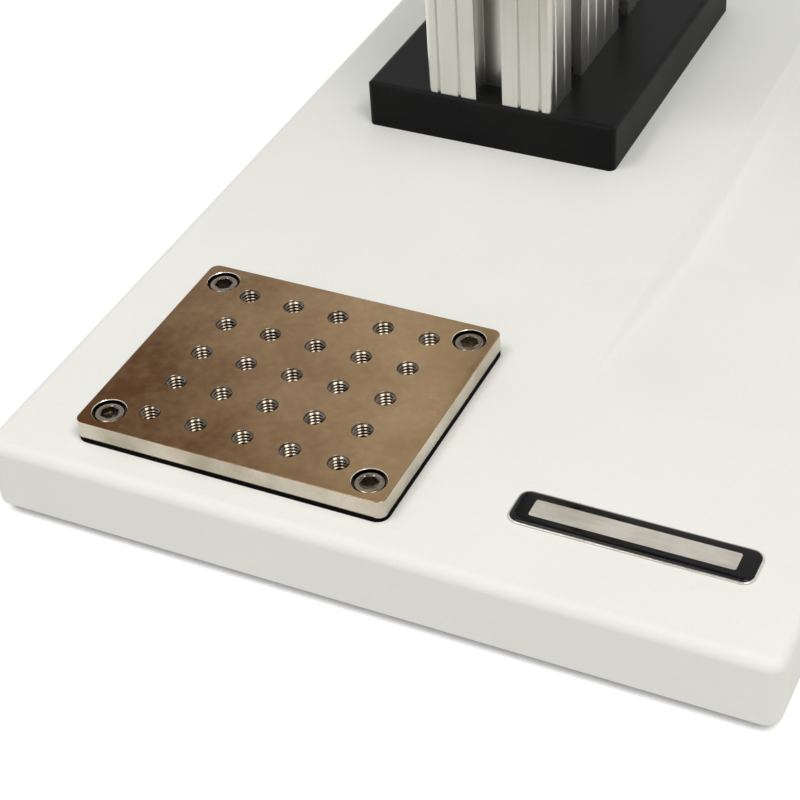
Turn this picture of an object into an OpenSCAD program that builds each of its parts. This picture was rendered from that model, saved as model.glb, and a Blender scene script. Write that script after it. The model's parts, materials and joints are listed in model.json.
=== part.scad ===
// Manual force test stand: a cast base with a threaded specimen plate, a slotted
// aluminium column, and a carriage that a hand wheel drives along a gear rack.
//
// Millimetres. X points right, Y points back and Z points up. The origin is the
// mouth of the specimen plate's centre hole, which is where the load axis meets it.

/* [Specimen plate] */
// Pitch of the threaded grid
grid_pitch = 12.7; // [12:0.1:14]
// Holes along each side of the grid
grid_count = 5; // [3, 5]
// Radius of the grid's tapped holes
grid_hole_r = 2.1; // [1.6:0.05:2.5]
// Countersink at the mouth of each grid hole
grid_countersink = 0.3; // [0.1:0.1:0.5]
// Metal left of and right of the outer grid holes
plate_side = 15.9; // [15:0.1:20]
// Metal in front of and behind the outer grid holes
plate_end = 9.5; // [9:0.1:14]
// Thickness of the steel plate
plate_t = 4.8; // [4.6:0.1:8]
// Radius of the plate's upright corners
plate_corner_r = 3; // [1:0.5:6]
// Bevel round the plate's top edge
plate_bevel = 0.5; // [0.2:0.1:1]
// Distance of the corner screws from the plate's edges
plate_screw_inset = 6.4; // [6:0.1:7]
// Thickness of the pad under the plate
pad_t = 1.2; // [0.8:0.1:3]
// How far the pad shows round the plate
pad_border = 0.2; // [0:0.1:1]

/* [Base] */
// Width of the base
base_w = 201; // [195:1:240]
// Depth of the base
base_d = 305; // [290:1:360]
// Height of the casting
base_h = 19.2; // [18:0.1:26]
// Left edge of the base, measured from the load axis
base_left = 63; // [60:1:70]
// Front edge of the base, measured from the load axis
base_front = 44.5; // [43:0.5:60]
// Radius of the upright corners
base_corner_r = 4; // [4:0.5:12]
// Radius round the top edge
base_edge_r = 3; // [2:0.5:3.5]
// Inward lean of the walls at the foot
base_draft = 0.4; // [0:0.1:0.6]
// Thickness of the top skin over the hollow underside
base_skin = 9; // [8:0.5:11]
// Thickness of the rim wall
base_wall = 10; // [8:0.5:14]
// Thickness of the ribs underneath
rib_t = 5; // [3:0.5:8]
// Left edge of the hand clearance, measured from the load axis
recess_left = 65.5; // [60:0.5:80]
// Front edge of the hand clearance, measured from the load axis
recess_front = 29; // [20:1:40]
// Depth of the hand clearance
recess_depth = 4.2; // [3:0.1:6]
// How far the clearance's left wall leans outward
recess_lean = 4.2; // [0.5:0.1:8]
// Length of the clearance's front ramp
recess_ramp = 66; // [50:1:110]
// Length of the clearance's level floor
recess_floor = 106; // [50:1:110]
// Length of the clearance's back ramp
recess_tail = 36; // [25:1:40]

/* [Feet] */
// Radius of a rubber foot
foot_r = 9; // [6:0.5:11]
// How far the feet stand below the casting
foot_stand = 3; // [2:0.5:8]
// How deep the feet sit in their seats
foot_sink = 2; // [1:0.5:4]
// Distance of the feet from the base's edges
foot_inset = 19; // [17:1:24]

/* [Name plate] */
// Length of the bare name plate
badge_w = 58.6; // [40:0.1:62]
// Depth of the bare name plate
badge_d = 11.6; // [8:0.1:14]
// Thickness of the bare name plate
badge_t = 1; // [0.6:0.1:2]
// Corner radius of the name plate
badge_r = 2.6; // [1:0.1:3.5]
// Share of the free strip beside the specimen plate that lies left of the name plate
badge_lean = 0.6483; // [0.3:0.0001:0.9]
// Name plate's centre, back from the base's front edge
badge_front = 26.5; // [20:0.1:32]

/* [Column] */
// Distance from the load axis to the column's front face
throat = 122.8; // [115:0.1:140]
// Side of one square module of the column's section
col_module = 38.1; // [38:0.1:42]
// Length of the column
col_len = 609.6; // [590:0.1:760]
// Mouth of a T-slot
slot_w = 8.1; // [7.5:0.1:9]
// Thickness of the lips beside a T-slot
lip_t = 2.6; // [2.2:0.1:3.2]
// Width inside a T-slot
tee_w = 14.8; // [14.2:0.1:17]
// Depth of a T-slot from the face to its floor
tee_d = 9; // [8.4:0.1:9.6]
// Radius of the cored hole in each module
core_r = 3.3; // [3:0.1:3.8]
// Width of the fine grooves that run along the faces
flute_w = 1.3; // [0.6:0.1:1.5]
// Depth of the fine grooves
flute_depth = 0.6; // [0.3:0.1:0.9]
// Radius of the column's outer corners
col_corner_r = 1.5; // [0.5:0.1:2]
// Thickness of the column's end cap
cap_t = 6; // [4:0.5:12]

/* [Column foot] */
// Width of the foot block
block_w = 76.2; // [74:0.1:90]
// Depth of the foot block
block_d = 101.6; // [98:0.1:115]
// Height of the foot block
block_t = 14; // [12:0.5:20]
// Radius along the foot block's top edges
block_edge_r = 1.4; // [0.5:0.1:2.5]
// How far the block stands in front of the column
block_lead = 1.3; // [0.5:0.1:5]

/* [Carriage] */
// Height of the carriage's centre above the base
carriage_up = 336; // [300:1:360]
// Width of the carriage
carriage_w = 76.2; // [74:0.1:86]
// Height of the carriage
carriage_h = 90; // [86:1:110]
// Metal in front of the pinion's axis
nose = 22; // [20:0.5:30]
// Thickness of the plate behind the column
rear_t = 8; // [7:0.5:12]
// How far the glide strips stand proud of their seats
glide_proud = 3; // [2.5:0.1:4]
// How deep the glide strips are seated
glide_sink = 1.5; // [1:0.1:2]
// Width of a glide strip
glide_w = 7; // [5:0.5:7]
// Gap between the glide strips and the column
glide_gap = 0.15; // [0.05:0.05:0.3]

/* [Rack and pinion] */
// Gear module
gear_m = 1.25; // [1.2:0.05:1.35]
// Teeth on the pinion
pinion_teeth = 18; // [17:1:20]
// Width of the pinion
pinion_w = 12; // [8:0.5:12]
// Width of the rack
rack_w = 12.7; // [11:0.1:13]
// Height of the rack from its back to its tooth tips
rack_h = 10; // [9.5:0.1:12]
// Lower end of the rack, above the column's foot
rack_start = 84; // [78:1:90]
// Upper end of the rack, below the column's top
rack_stop = 78; // [60:1:90]
// Play between the meshing flanks
backlash = 0.16; // [0.1:0.02:0.3]
// Radius of the pinion shaft
shaft_r = 6; // [5:0.1:6.5]
// Radial clearance of the shaft in its bushes
shaft_play = 0.04; // [0.02:0.01:0.08]

/* [Hand wheel] */
// Radius of the rim, at the middle of its section
wheel_r = 68; // [60:1:74]
// Radius of the rim's section
rim_r = 7.5; // [6:0.5:9]
// Distance of the rim's plane from the load axis
wheel_x = 77; // [75:1:84]
// Radius of the hub
hub_r = 14; // [12:0.5:18]
// Spokes
spoke_count = 3; // [3:1:5]
// Length of the crank handle
handle_len = 50; // [40:1:54]
// Largest radius of the crank handle
handle_r = 10.5; // [8:0.5:12]

/* [Gauge mount] */
// Distance from the load axis to the gauge plate's face
gauge_face = 22.8; // [18:0.1:28]
// Width of the gauge plate
gauge_w = 72; // [68:1:84]
// Height of the gauge plate
gauge_h = 104; // [98:1:120]
// Thickness of the gauge plate
gauge_t = 8; // [6:0.5:10]
// Width of the arm that carries the gauge plate
arm_w = 34; // [32:1:38]
// Height of the arm at the carriage
arm_h = 70; // [66:1:80]
// Radius of the gauge plate's four clearance holes
gauge_hole_r = 2.25; // [1.8:0.05:2.6]
// Spacing of those holes across the plate
gauge_hole_x = 25.4; // [20:0.1:30]
// Spacing of those holes up the plate
gauge_hole_z = 12.7; // [11:0.1:14]

/* [Stops and lock] */
// Height of a travel stop
stop_h = 16; // [14:1:20]
// How far a travel stop stands out of the column
stop_out = 13; // [10:0.5:16]
// Height of the lower stop above the column's foot
stop_low = 43; // [38:1:46]
// Distance of the upper stop below the column's top
stop_high = 5; // [2:1:8]
// Radius of the lock knob
lock_r = 17; // [14:0.5:20]

/* [Hidden] */
$fn = 64;

// Clearances: a close fit within one body, and the gap before a face that moves
fit = 0.02;
rest_gap = 0.3;
eps = 1;
seat_t = 0.05;
thread_play = 0.06;

// Heights
base_top = -plate_t - pad_t;
base_bottom = base_top - base_h;
table = base_bottom - foot_stand;
block_top = base_top + block_t;
col_top = block_top + col_len;
carriage_z = base_top + carriage_up;

// Specimen plate
grid_span = (grid_count - 1) * grid_pitch;
plate_w = grid_span + 2 * plate_side;
plate_d = grid_span + 2 * plate_end;
plate_screw_x = plate_w / 2 - plate_screw_inset;
plate_screw_y = plate_d / 2 - plate_screw_inset;
plate_screw_r = 2.4;
plate_head_r = 4;
plate_head_h = 2.8;
plate_hole_play = 0.2;
plate_seat_play = 0.6;
plate_seat_depth = 3.3;
plate_thread = 9;

// Base plan, with its corner at the front left
base_x0 = -base_left;
base_y0 = -base_front;
base_x1 = base_x0 + base_w;
base_y1 = base_y0 + base_d;
base_mid_x = (base_x0 + base_x1) / 2;
base_mid_y = (base_y0 + base_y1) / 2;
base_foot_bevel = 0.5;
badge_free = base_x1 - plate_w / 2 - badge_w;
badge_x = plate_w / 2 + badge_free * badge_lean + badge_w / 2;
badge_y = base_y0 + badge_front;
pocket_h = base_h - base_skin;
boss_wall = 4;
plate_boss_wall = 5;
foot_places = [
    for (x = [base_x0 + foot_inset, base_x1 - foot_inset],
         y = [base_y0 + foot_inset, base_y1 - foot_inset]) [x, y]
];
foot_screw_r = 2;
foot_screw_head_r = 4;
foot_screw_head_h = 2;
foot_screw_len = 9;

// Column section
col_w = col_module;
col_d = 2 * col_module;
col_back = throat + col_d;
col_mid_y = throat + col_d / 2;
cap_plug = 12;
cap_edge = 1.2;
slot_y = [throat + col_module / 2, throat + 1.5 * col_module];
flute_in = 9.2;
flute_out = 15.5;
tee_bevel = 2.4;

// Column foot
block_y0 = throat - block_lead;
block_mid_y = block_y0 + block_d / 2;
block_corner_r = 2;
foot_bolt_inset = 11;
foot_bolt_x = block_w / 2 - foot_bolt_inset;
foot_bolt_y = block_d / 2 - foot_bolt_inset;
foot_bolt_r = 3;
foot_bolt_head_r = 5;
foot_bolt_head_h = 5;
foot_bolt_play = 0.25;
foot_bolt_seat = foot_bolt_head_h + 1.5;
foot_bolt_seat_r = foot_bolt_head_r + 0.5;
foot_bolt_grip = 9;
column_bolt_r = core_r - seat_t;
column_bolt_reach = 28;
column_bolt_head_r = 6;
column_bolt_head_h = 5;

// Gear teeth
pressure = 20;
tooth_pitch = PI * gear_m;
pitch_r = gear_m * pinion_teeth / 2;
tip_r = pitch_r + gear_m;
root_r = pitch_r - 1.25 * gear_m;
involute_r = pitch_r * cos(pressure);
rack_tip_y = throat - rack_h;
rack_pitch_y = rack_tip_y + gear_m;
rack_root_y = rack_pitch_y + 1.25 * gear_m;
rack_z0 = block_top + rack_start;
rack_z1 = col_top - rack_stop;
rack_first = ceil((rack_z0 - carriage_z) / tooth_pitch + 0.5);
rack_last = floor((rack_z1 - carriage_z) / tooth_pitch - 0.5);
pinion_y = rack_pitch_y - pitch_r;
rack_screw_r = 2.2;
rack_screw_head_r = 3.6;
rack_screw_head_h = 3.4;
rack_screw_seat = rack_screw_head_h + 0.4;
rack_screw_end = 18;
rack_screw_rows = [
    for (k = [-2:2]) (rack_z0 + rack_z1) / 2 + k * (rack_z1 - rack_z0 - 2 * rack_screw_end) / 4
];
nut_t = 4.4;
nut_len = 14;
nut_gap = 0.1;
nut_side = 0.5;
nut_relief = 4.4;

// Carriage
inner_x = col_w / 2 + glide_gap + glide_proud;
inner_y0 = throat - glide_gap - glide_proud;
inner_y1 = col_back + glide_gap + glide_proud;
carriage_y0 = pinion_y - nose;
carriage_z0 = carriage_z - carriage_h / 2;
carriage_z1 = carriage_z + carriage_h / 2;
carriage_bevel = 1.2;
carriage_corner_r = 5;
gear_room = 1.2;
strip_h = carriage_h - 8;
strip_front_x = col_w / 2 - col_corner_r - glide_w / 2 - 0.4;
strip_side_y = [throat + col_corner_r + 1 + glide_w / 2, col_back - col_corner_r - glide_w / 2 - 0.4];
rear_screw_x = (inner_x + carriage_w / 2) / 2;
rear_screw_inset = 12;
rear_screw_rows = [-1, 0, 1] * (carriage_h / 2 - rear_screw_inset);
rear_screw_r = 2.4;
rear_screw_head_r = 4.2;
rear_screw_head_h = 4;
rear_screw_seat = rear_screw_head_h + 0.5;
rear_screw_grip = 14;
gib_r = 2.4;
gib_rows = [-1, 1] * (carriage_h / 4 - 4);
gib_recess = 1.5;
gib_key_depth = 2.5;
bush_len = 14;
bush_wall = 2.2;
bush_flange_r = 11;
bush_flange_t = 2;
bush_r = shaft_r + shaft_play + bush_wall;

// Drive shaft and wheel
shaft_end_gap = bush_flange_t + rest_gap;
collar_t = 9;
collar_r = 11.5;
hub_x0 = carriage_w / 2 + shaft_end_gap;
hub_x1 = wheel_x + 7;
hub_screw_r = 2.5;
hub_screw_len = 16;
hub_cap_r = 9;
hub_flange = 14;
crank_angle = 230;
spoke_root = 8.5;
spoke_tip = 5.5;
spoke_root_x = -9;
spoke_root_t = 8;
spoke_tip_t = 7;
handle_bolt_r = 3;
handle_play = 0.08;
handle_x0 = wheel_x + rim_r + rest_gap + 1.2;
handle_head_r = 5;
handle_head_h = 4;

// Gauge mount
gauge_back = gauge_face + gauge_t;
gauge_drop = 8;
arm_flange_t = 10;
arm_web = 16;
arm_tip_h = 60;
arm_bolt_r = 3.1;
arm_bolt_head_r = 5;
arm_bolt_head_h = 6;
arm_bolt_z = 23;
arm_bolt_grip = 16;
gauge_screw_x = 11.5;
gauge_screw_z = 9;
gauge_screw_r = 2.4;
gauge_screw_head_r = 4.1;
gauge_screw_head_h = 4.2;
gauge_screw_grip = 8;
thumb_x = gauge_w / 2 - 8.5;
thumb_z = [gauge_h / 2 - 9, -gauge_h / 2 + 9];
thumb_r = 2.4;
thumb_head_r = 6.5;
thumb_head_t = 9;
thumb_reach = 7;
gauge_hole_up = 14;
gauge_hole_mid = -gauge_drop - gauge_h / 2 + gauge_hole_up;

// Lock and stops
lock_y = slot_y[1];
brake_r = 8;
brake_sink = 2;
lock_stem_r = 4;
lock_boss_t = 3;
lock_knob_t = 15;
stop_w = 22;
stop_screw_r = 2.5;
stop_head_r = 8;
stop_head_t = 10;
stop_tongue_gap = 0.3;
stop_tongue_play = 0.15;
lower_stop_z = block_top + stop_low;
upper_stop_z = col_top - stop_high - stop_h;

// Scale strip and pointer
strip_scale_w = 12;
strip_scale_t = 0.5;
strip_scale_z0 = block_top + 56;
strip_scale_z1 = col_top - 12;
pointer_t = 1;
pointer_w = 12;
pointer_screw_r = 1.5;
pointer_screw_len = 6;

// A flat rectangle with round corners, centred on the origin
module round_rect(w, d, r) {
    square([w - 2 * r, d], center = true);
    square([w, d - 2 * r], center = true);
    for (x = [-1, 1], y = [-1, 1])
        translate([x * (w / 2 - r), y * (d / 2 - r)]) circle(r);
}

// Lays a flat outline drawn as (Y, Z) along X, centred, over a length
module along_x(length) rotate([90, 0, 90]) linear_extrude(length, center = true) children();

// Lays a flat outline drawn as (X, Z) along Y, centred, over a length
module along_y(length) rotate([90, 0, 0]) linear_extrude(length, center = true) children();

// A cylinder from one X to another, with its axis at the given Y and Z
module rod_x(x0, x1, y, z, r) translate([x0, y, z]) rotate([0, 90, 0]) cylinder(x1 - x0, r = r);

// A cylinder from one Y to another, with its axis at the given X and Z
module rod_y(y0, y1, x, z, r) translate([x, y0, z]) rotate([-90, 0, 0]) cylinder(y1 - y0, r = r);

// A cone-ended disc along +Z: a screw head or knob blank with bevelled rims
module bevelled_disc(r, h, bevel)
    rotate_extrude() polygon([
        [0, 0], [r - bevel, 0], [r, bevel], [r, h - bevel], [r - bevel, h], [0, h]
    ]);

// Side view of a slab whose top edges are bevelled; its top is at zero
module bevel_profile(w, t, bevel)
    polygon([
        [-w / 2, -t], [w / 2, -t], [w / 2, -bevel],
        [w / 2 - bevel, 0], [bevel - w / 2, 0], [-w / 2, -bevel]
    ]);

// Side view of a slab whose top edges are rounded; its top is at zero
module soft_profile(w, t, r) {
    translate([-w / 2, -t]) square([w, t - r]);
    translate([-w / 2 + r, -t]) square([w - 2 * r, t]);
    for (x = [-1, 1]) translate([x * (w / 2 - r), -r]) circle(r);
}

// A slab with its top at zero, upright corners rounded and top edge bevelled
module bevelled_slab(w, d, t, corner, bevel)
    intersection() {
        translate([0, 0, -t]) linear_extrude(t) round_rect(w, d, corner);
        along_y(d + eps) bevel_profile(w, t, bevel);
        along_x(w + eps) bevel_profile(d, t, bevel);
    }

// A slab with its top at zero, upright corners and top edge both rounded
module soft_slab(w, d, t, corner, edge)
    intersection() {
        translate([0, 0, -t]) linear_extrude(t) round_rect(w, d, corner);
        along_y(d + eps) soft_profile(w, t, edge);
        along_x(w + eps) soft_profile(d, t, edge);
    }

// A socket head screw along -Z with the underside of its head at zero
module socket_screw(r, len, head_r, head_h, key)
    difference() {
        union() {
            translate([0, 0, -len]) cylinder(len, r = r);
            bevelled_disc(head_r, head_h, head_h / 8);
        }
        translate([0, 0, head_h * 0.45]) cylinder(head_h, d = key, $fn = 6);
    }

// A knurled thumb screw along -Z with the underside of its head at zero
module thumb_screw(r, len, head_r, head_h)
    union() {
        translate([0, 0, -len]) cylinder(len, r = r);
        bevelled_disc(head_r, head_h, 0.8);
    }

// Places things on both sides of the grid plate's middle, at its corner screws
module at_plate_screws()
    for (x = [-1, 1], y = [-1, 1])
        translate([x * plate_screw_x, y * plate_screw_y, 0]) children();

// Places things at the four bolts that hold the column's foot
module at_foot_bolts()
    for (x = [-1, 1], y = [-1, 1])
        translate([x * foot_bolt_x, block_mid_y + y * foot_bolt_y, 0]) children();

// Places things at the rubber feet
module at_feet() for (p = foot_places) translate([p[0], p[1], 0]) children();

// One corner of the casting: a round post with draft, a rounded top edge and a small foot bevel
module corner_post()
    rotate_extrude($fn = 32) polygon(concat(
        [[0, -base_h],
         [base_corner_r - base_draft - base_foot_bevel, -base_h],
         [base_corner_r - base_draft, -base_h + base_foot_bevel]],
        [for (a = [0:15:90])
            [base_corner_r - base_edge_r + base_edge_r * cos(a), -base_edge_r + base_edge_r * sin(a)]],
        [[0, 0]]
    ));

// Outer form of the casting, with its top at zero
module base_form()
    hull()
        for (x = [base_x0 + base_corner_r, base_x1 - base_corner_r],
             y = [base_y0 + base_corner_r, base_y1 - base_corner_r])
            translate([x, y, 0]) corner_post();

// What stays solid inside the hollow underside: ribs, bosses and the column's pad
module base_bones() {
    for (x = [base_x0 + base_w / 3, base_x0 + 2 * base_w / 3])
        translate([x - rib_t / 2, base_y0, -base_h]) cube([rib_t, base_d, base_h]);
    for (k = [1:4])
        translate([base_x0, base_y0 + k * base_d / 5 - rib_t / 2, -base_h])
            cube([base_w, rib_t, base_h]);
    at_feet() translate([0, 0, -base_h]) cylinder(base_h, r = foot_r + boss_wall);
    at_plate_screws() translate([0, 0, -base_h]) cylinder(base_h, r = plate_screw_r + plate_boss_wall);
    at_foot_bolts() translate([0, 0, -base_h]) cylinder(base_h, r = foot_bolt_seat_r + boss_wall);
    // the thick pad that the column's block is bolted through
    translate([-block_w / 2, block_y0, -base_h + foot_bolt_seat])
        cube([block_w, block_d, base_h - foot_bolt_seat]);
}

module base()
    color([0.93, 0.93, 0.90])
    translate([0, 0, base_top])
    difference() {
        base_form();
        // hollow underside
        difference() {
            translate([base_mid_x, base_mid_y, -base_h - eps])
                linear_extrude(pocket_h + eps)
                    round_rect(base_w - 2 * base_wall, base_d - 2 * base_wall, base_corner_r / 2);
            base_bones();
        }
        // hand clearance under the wheel: a ramp, a level floor and a ramp back up, beside a wall
        // that leans outward
        intersection() {
            translate([(recess_left + base_x1) / 2, recess_front, 0])
                along_x(base_x1 - recess_left + 2 * base_wall) polygon([
                    [0, 0], [recess_ramp, -recess_depth], [recess_ramp + recess_floor, -recess_depth],
                    [recess_ramp + recess_floor + recess_tail, 0],
                    [recess_ramp + recess_floor + recess_tail, eps], [0, eps]
                ]);
            translate([recess_left, base_mid_y, 0]) along_y(base_d) polygon([
                [-recess_lean, recess_depth], [2 * recess_lean, -2 * recess_depth],
                [base_x1 + base_wall - recess_left, -2 * recess_depth],
                [base_x1 + base_wall - recess_left, recess_depth]
            ]);
        }
        at_plate_screws() translate([0, 0, -plate_thread])
            cylinder(plate_thread + eps, r = plate_screw_r + fit);
        at_foot_bolts() {
            translate([0, 0, -base_h - eps]) cylinder(base_h + 2 * eps, r = foot_bolt_r + foot_bolt_play);
            translate([0, 0, -base_h - eps]) cylinder(foot_bolt_seat + eps, r = foot_bolt_seat_r);
        }
        at_feet() {
            translate([0, 0, -base_h - eps]) cylinder(foot_sink + eps, r = foot_r + fit);
            translate([0, 0, -base_h]) cylinder(foot_screw_len, r = foot_screw_r + fit);
        }
    }

module rubber_feet()
    color([0.08, 0.08, 0.08])
    at_feet() translate([0, 0, table])
        difference() {
            rotate_extrude() polygon([
                [0, 0], [foot_r - 1.2, 0], [foot_r, 1.2], [foot_r, foot_stand + foot_sink],
                [0, foot_stand + foot_sink]
            ]);
            translate([0, 0, -eps]) cylinder(foot_screw_head_h + 0.6 + eps, r = foot_screw_head_r + 0.4);
            cylinder(foot_stand + foot_sink + eps, r = foot_screw_r + 0.1);
        }

module foot_screws()
    color([0.55, 0.55, 0.56])
    at_feet() translate([0, 0, table + foot_screw_head_h + 0.6])
        rotate([180, 0, 0])
        socket_screw(foot_screw_r, foot_screw_len - 1 + foot_stand - foot_screw_head_h,
            foot_screw_head_r, foot_screw_head_h, 2.6);

module plate_pad()
    color([0.05, 0.05, 0.05])
    difference() {
        translate([0, 0, base_top])
            linear_extrude(pad_t)
                round_rect(plate_w + 2 * pad_border, plate_d + 2 * pad_border, plate_corner_r + pad_border);
        at_plate_screws() translate([0, 0, base_top - eps])
            cylinder(pad_t + 2 * eps, r = plate_screw_r + plate_hole_play);
    }

module grid_plate()
    color([0.62, 0.55, 0.47])
    difference() {
        bevelled_slab(plate_w, plate_d, plate_t, plate_corner_r, plate_bevel);
        for (i = [0:grid_count - 1], j = [0:grid_count - 1])
            translate([i * grid_pitch - grid_span / 2, j * grid_pitch - grid_span / 2, 0]) {
                translate([0, 0, -plate_t - eps]) cylinder(plate_t + 2 * eps, r = grid_hole_r);
                translate([0, 0, -grid_countersink])
                    cylinder(2 * grid_countersink, r1 = grid_hole_r, r2 = grid_hole_r + 2 * grid_countersink);
            }
        at_plate_screws() {
            translate([0, 0, -plate_t - eps]) cylinder(plate_t + eps, r = plate_screw_r + plate_hole_play);
            translate([0, 0, -plate_seat_depth])
                cylinder(plate_seat_depth + eps, r = plate_head_r + plate_seat_play);
        }
    }

module plate_screws()
    color([0.5, 0.48, 0.45])
    at_plate_screws() translate([0, 0, -plate_seat_depth])
        socket_screw(plate_screw_r, plate_t - plate_seat_depth + pad_t + plate_thread - 1,
            plate_head_r, plate_head_h, 4.6);

module name_plate()
    color([0.03, 0.03, 0.03])
    translate([badge_x, badge_y, base_top + badge_t])
        soft_slab(badge_w, badge_d, badge_t, badge_r, badge_t * 0.6);

module column_foot()
    color([0.11, 0.11, 0.11])
    difference() {
        translate([0, block_mid_y, block_top])
            soft_slab(block_w, block_d, block_t, block_corner_r, block_edge_r);
        at_foot_bolts() translate([0, 0, base_top - eps])
            cylinder(foot_bolt_grip + eps, r = foot_bolt_r + fit);
        for (y = slot_y) translate([0, y, base_top - eps]) {
            cylinder(block_t + 2 * eps, r = column_bolt_r + 0.3);
            cylinder(column_bolt_head_h + 1 + eps, r = column_bolt_head_r + 0.4);
        }
    }

module foot_bolts()
    color([0.2, 0.2, 0.2])
    at_foot_bolts() translate([0, 0, base_bottom + foot_bolt_seat])
        rotate([180, 0, 0])
        socket_screw(foot_bolt_r, base_h - foot_bolt_seat + foot_bolt_grip - 1,
            foot_bolt_head_r, foot_bolt_head_h, 5.8);

// One T-slot cut into a face at X = 0 whose solid lies towards -X
module tee_slot()
    polygon([
        [eps, slot_w / 2], [-lip_t, slot_w / 2], [-lip_t, tee_w / 2],
        [tee_bevel - tee_d, tee_w / 2], [-tee_d, tee_w / 2 - tee_bevel],
        [-tee_d, tee_bevel - tee_w / 2], [tee_bevel - tee_d, -tee_w / 2],
        [-lip_t, -tee_w / 2], [-lip_t, -slot_w / 2], [eps, -slot_w / 2]
    ]);

// The slot and the four fine grooves beside it, on one module's face
module slotted_face() {
    tee_slot();
    for (y = [-flute_out, -flute_in, flute_in, flute_out])
        polygon([
            [eps / 2, y - flute_w / 2 - eps / 3], [-flute_depth, y], [eps / 2, y + flute_w / 2 + eps / 3]
        ]);
}

// The extrusion's section, seen from above, with its front face at zero
module column_section()
    difference() {
        translate([0, col_d / 2]) round_rect(col_w, col_d, col_corner_r);
        for (k = [0.5, 1.5], side = [0, 180])
            translate([0, k * col_module]) rotate(side) translate([col_w / 2, 0]) slotted_face();
        rotate(-90) slotted_face();
        translate([0, col_d]) rotate(90) slotted_face();
        for (k = [0.5, 1.5]) translate([0, k * col_module]) circle(core_r);
        // the hollow between the two cores
        translate([0, col_d / 2]) circle(d = col_module - 2 * tee_d, $fn = 6);
    }

module column()
    color([0.78, 0.77, 0.74])
    translate([0, throat, block_top]) linear_extrude(col_len) column_section();

module column_bolts()
    color([0.25, 0.25, 0.25])
    for (y = slot_y) translate([0, y, base_top + column_bolt_head_h + 1])
        rotate([180, 0, 0])
        socket_screw(column_bolt_r, block_t - column_bolt_head_h - 1 + column_bolt_reach,
            column_bolt_head_r, column_bolt_head_h, 6.9);

module column_cap()
    color([0.07, 0.07, 0.07]) {
        translate([0, col_mid_y, col_top + cap_t]) soft_slab(col_w, col_d, cap_t, col_corner_r, cap_edge);
        for (y = slot_y) translate([0, y, col_top - cap_plug]) cylinder(cap_plug, r = core_r - seat_t);
    }

// Rack outline as (Y, Z): teeth point to -Y, and one is centred at the carriage's height
module rack_outline() {
    tip = tooth_pitch / 4 - gear_m * tan(pressure) - backlash / 4;
    root = tooth_pitch / 4 + 1.25 * gear_m * tan(pressure) - backlash / 4;
    polygon(concat(
        [[throat, rack_z0], [rack_root_y, rack_z0]],
        [for (k = [rack_first:rack_last], s = [0:3])
            [s == 0 || s == 3 ? rack_root_y : rack_tip_y,
             carriage_z + k * tooth_pitch + (s < 2 ? -1 : 1) * (s == 0 || s == 3 ? root : tip)]],
        [[rack_root_y, rack_z1], [throat, rack_z1]]
    ));
}

module gear_rack()
    color([0.55, 0.55, 0.55])
    difference() {
        along_x(rack_w) rack_outline();
        for (z = rack_screw_rows) {
            rod_y(rack_tip_y - eps, throat + eps, 0, z, rack_screw_r + 0.2);
            rod_y(rack_tip_y - eps, rack_root_y + rack_screw_seat, 0, z, rack_screw_head_r + 0.3);
        }
    }

module rack_screws()
    color([0.3, 0.3, 0.3])
    for (z = rack_screw_rows)
        translate([0, rack_root_y + rack_screw_seat, z]) rotate([90, 0, 0])
            socket_screw(rack_screw_r, throat + lip_t + nut_gap + nut_t - rack_root_y - rack_screw_seat,
                rack_screw_head_r, rack_screw_head_h, 3.4);

// A slot nut in the (X, Y) plane's +Y direction: its face lies against the slot's lips
module slot_nut(bolt_r)
    difference() {
        translate([-tee_w / 2 + nut_side, lip_t + nut_gap, -nut_len / 2])
            cube([tee_w - 2 * nut_side, nut_t, nut_len]);
        // relieved corners follow the slot's bevels
        for (x = [-1, 1]) translate([x * tee_w / 2, lip_t + nut_gap + nut_t, 0])
            rotate(45) cube([nut_relief, nut_relief, nut_len + eps], center = true);
        rod_y(lip_t, lip_t + nut_gap + nut_t + eps, 0, 0, bolt_r + fit);
    }

module rack_nuts()
    color([0.6, 0.6, 0.6])
    for (z = rack_screw_rows) translate([0, throat, z]) slot_nut(rack_screw_r);

module scale_strip()
    color([0.85, 0.85, 0.83])
    translate([-col_w / 2 - strip_scale_t, col_mid_y - strip_scale_w / 2, strip_scale_z0])
        cube([strip_scale_t, strip_scale_w, strip_scale_z1 - strip_scale_z0]);

// A travel stop on the column's right face, with its underside at the given height
module stop_block(z)
    difference() {
        union() {
            translate([col_w / 2 + stop_out / 2, slot_y[0], z + stop_h / 2])
                rotate([90, 0, 90]) linear_extrude(stop_out, center = true) round_rect(stop_w, stop_h, 2);
            translate([col_w / 2 - lip_t + stop_tongue_gap, slot_y[0] - slot_w / 2 + stop_tongue_play, z + 1])
                cube([lip_t - stop_tongue_gap, slot_w - 2 * stop_tongue_play, stop_h - 2]);
        }
        rod_x(col_w / 2 - lip_t - eps, col_w / 2 + stop_out + eps,
            slot_y[0], z + stop_h / 2, stop_screw_r + thread_play);
    }

module stop_nut(z)
    translate([col_w / 2, slot_y[0], z + stop_h / 2]) rotate(90) slot_nut(stop_screw_r + 0.04);

module stop_screw(z)
    translate([col_w / 2 + stop_out + 0.1, slot_y[0], z + stop_h / 2]) rotate([0, 90, 0])
        thumb_screw(stop_screw_r, stop_out + lip_t + nut_t, stop_head_r, stop_head_t);

module lower_stop() color([0.75, 0.75, 0.75]) stop_block(lower_stop_z);
module lower_stop_nut() color([0.6, 0.6, 0.6]) stop_nut(lower_stop_z);
module lower_stop_screw() color([0.1, 0.1, 0.1]) stop_screw(lower_stop_z);
module upper_stop() color([0.75, 0.75, 0.75]) stop_block(upper_stop_z);
module upper_stop_nut() color([0.6, 0.6, 0.6]) stop_nut(upper_stop_z);
module upper_stop_screw() color([0.1, 0.1, 0.1]) stop_screw(upper_stop_z);

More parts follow.
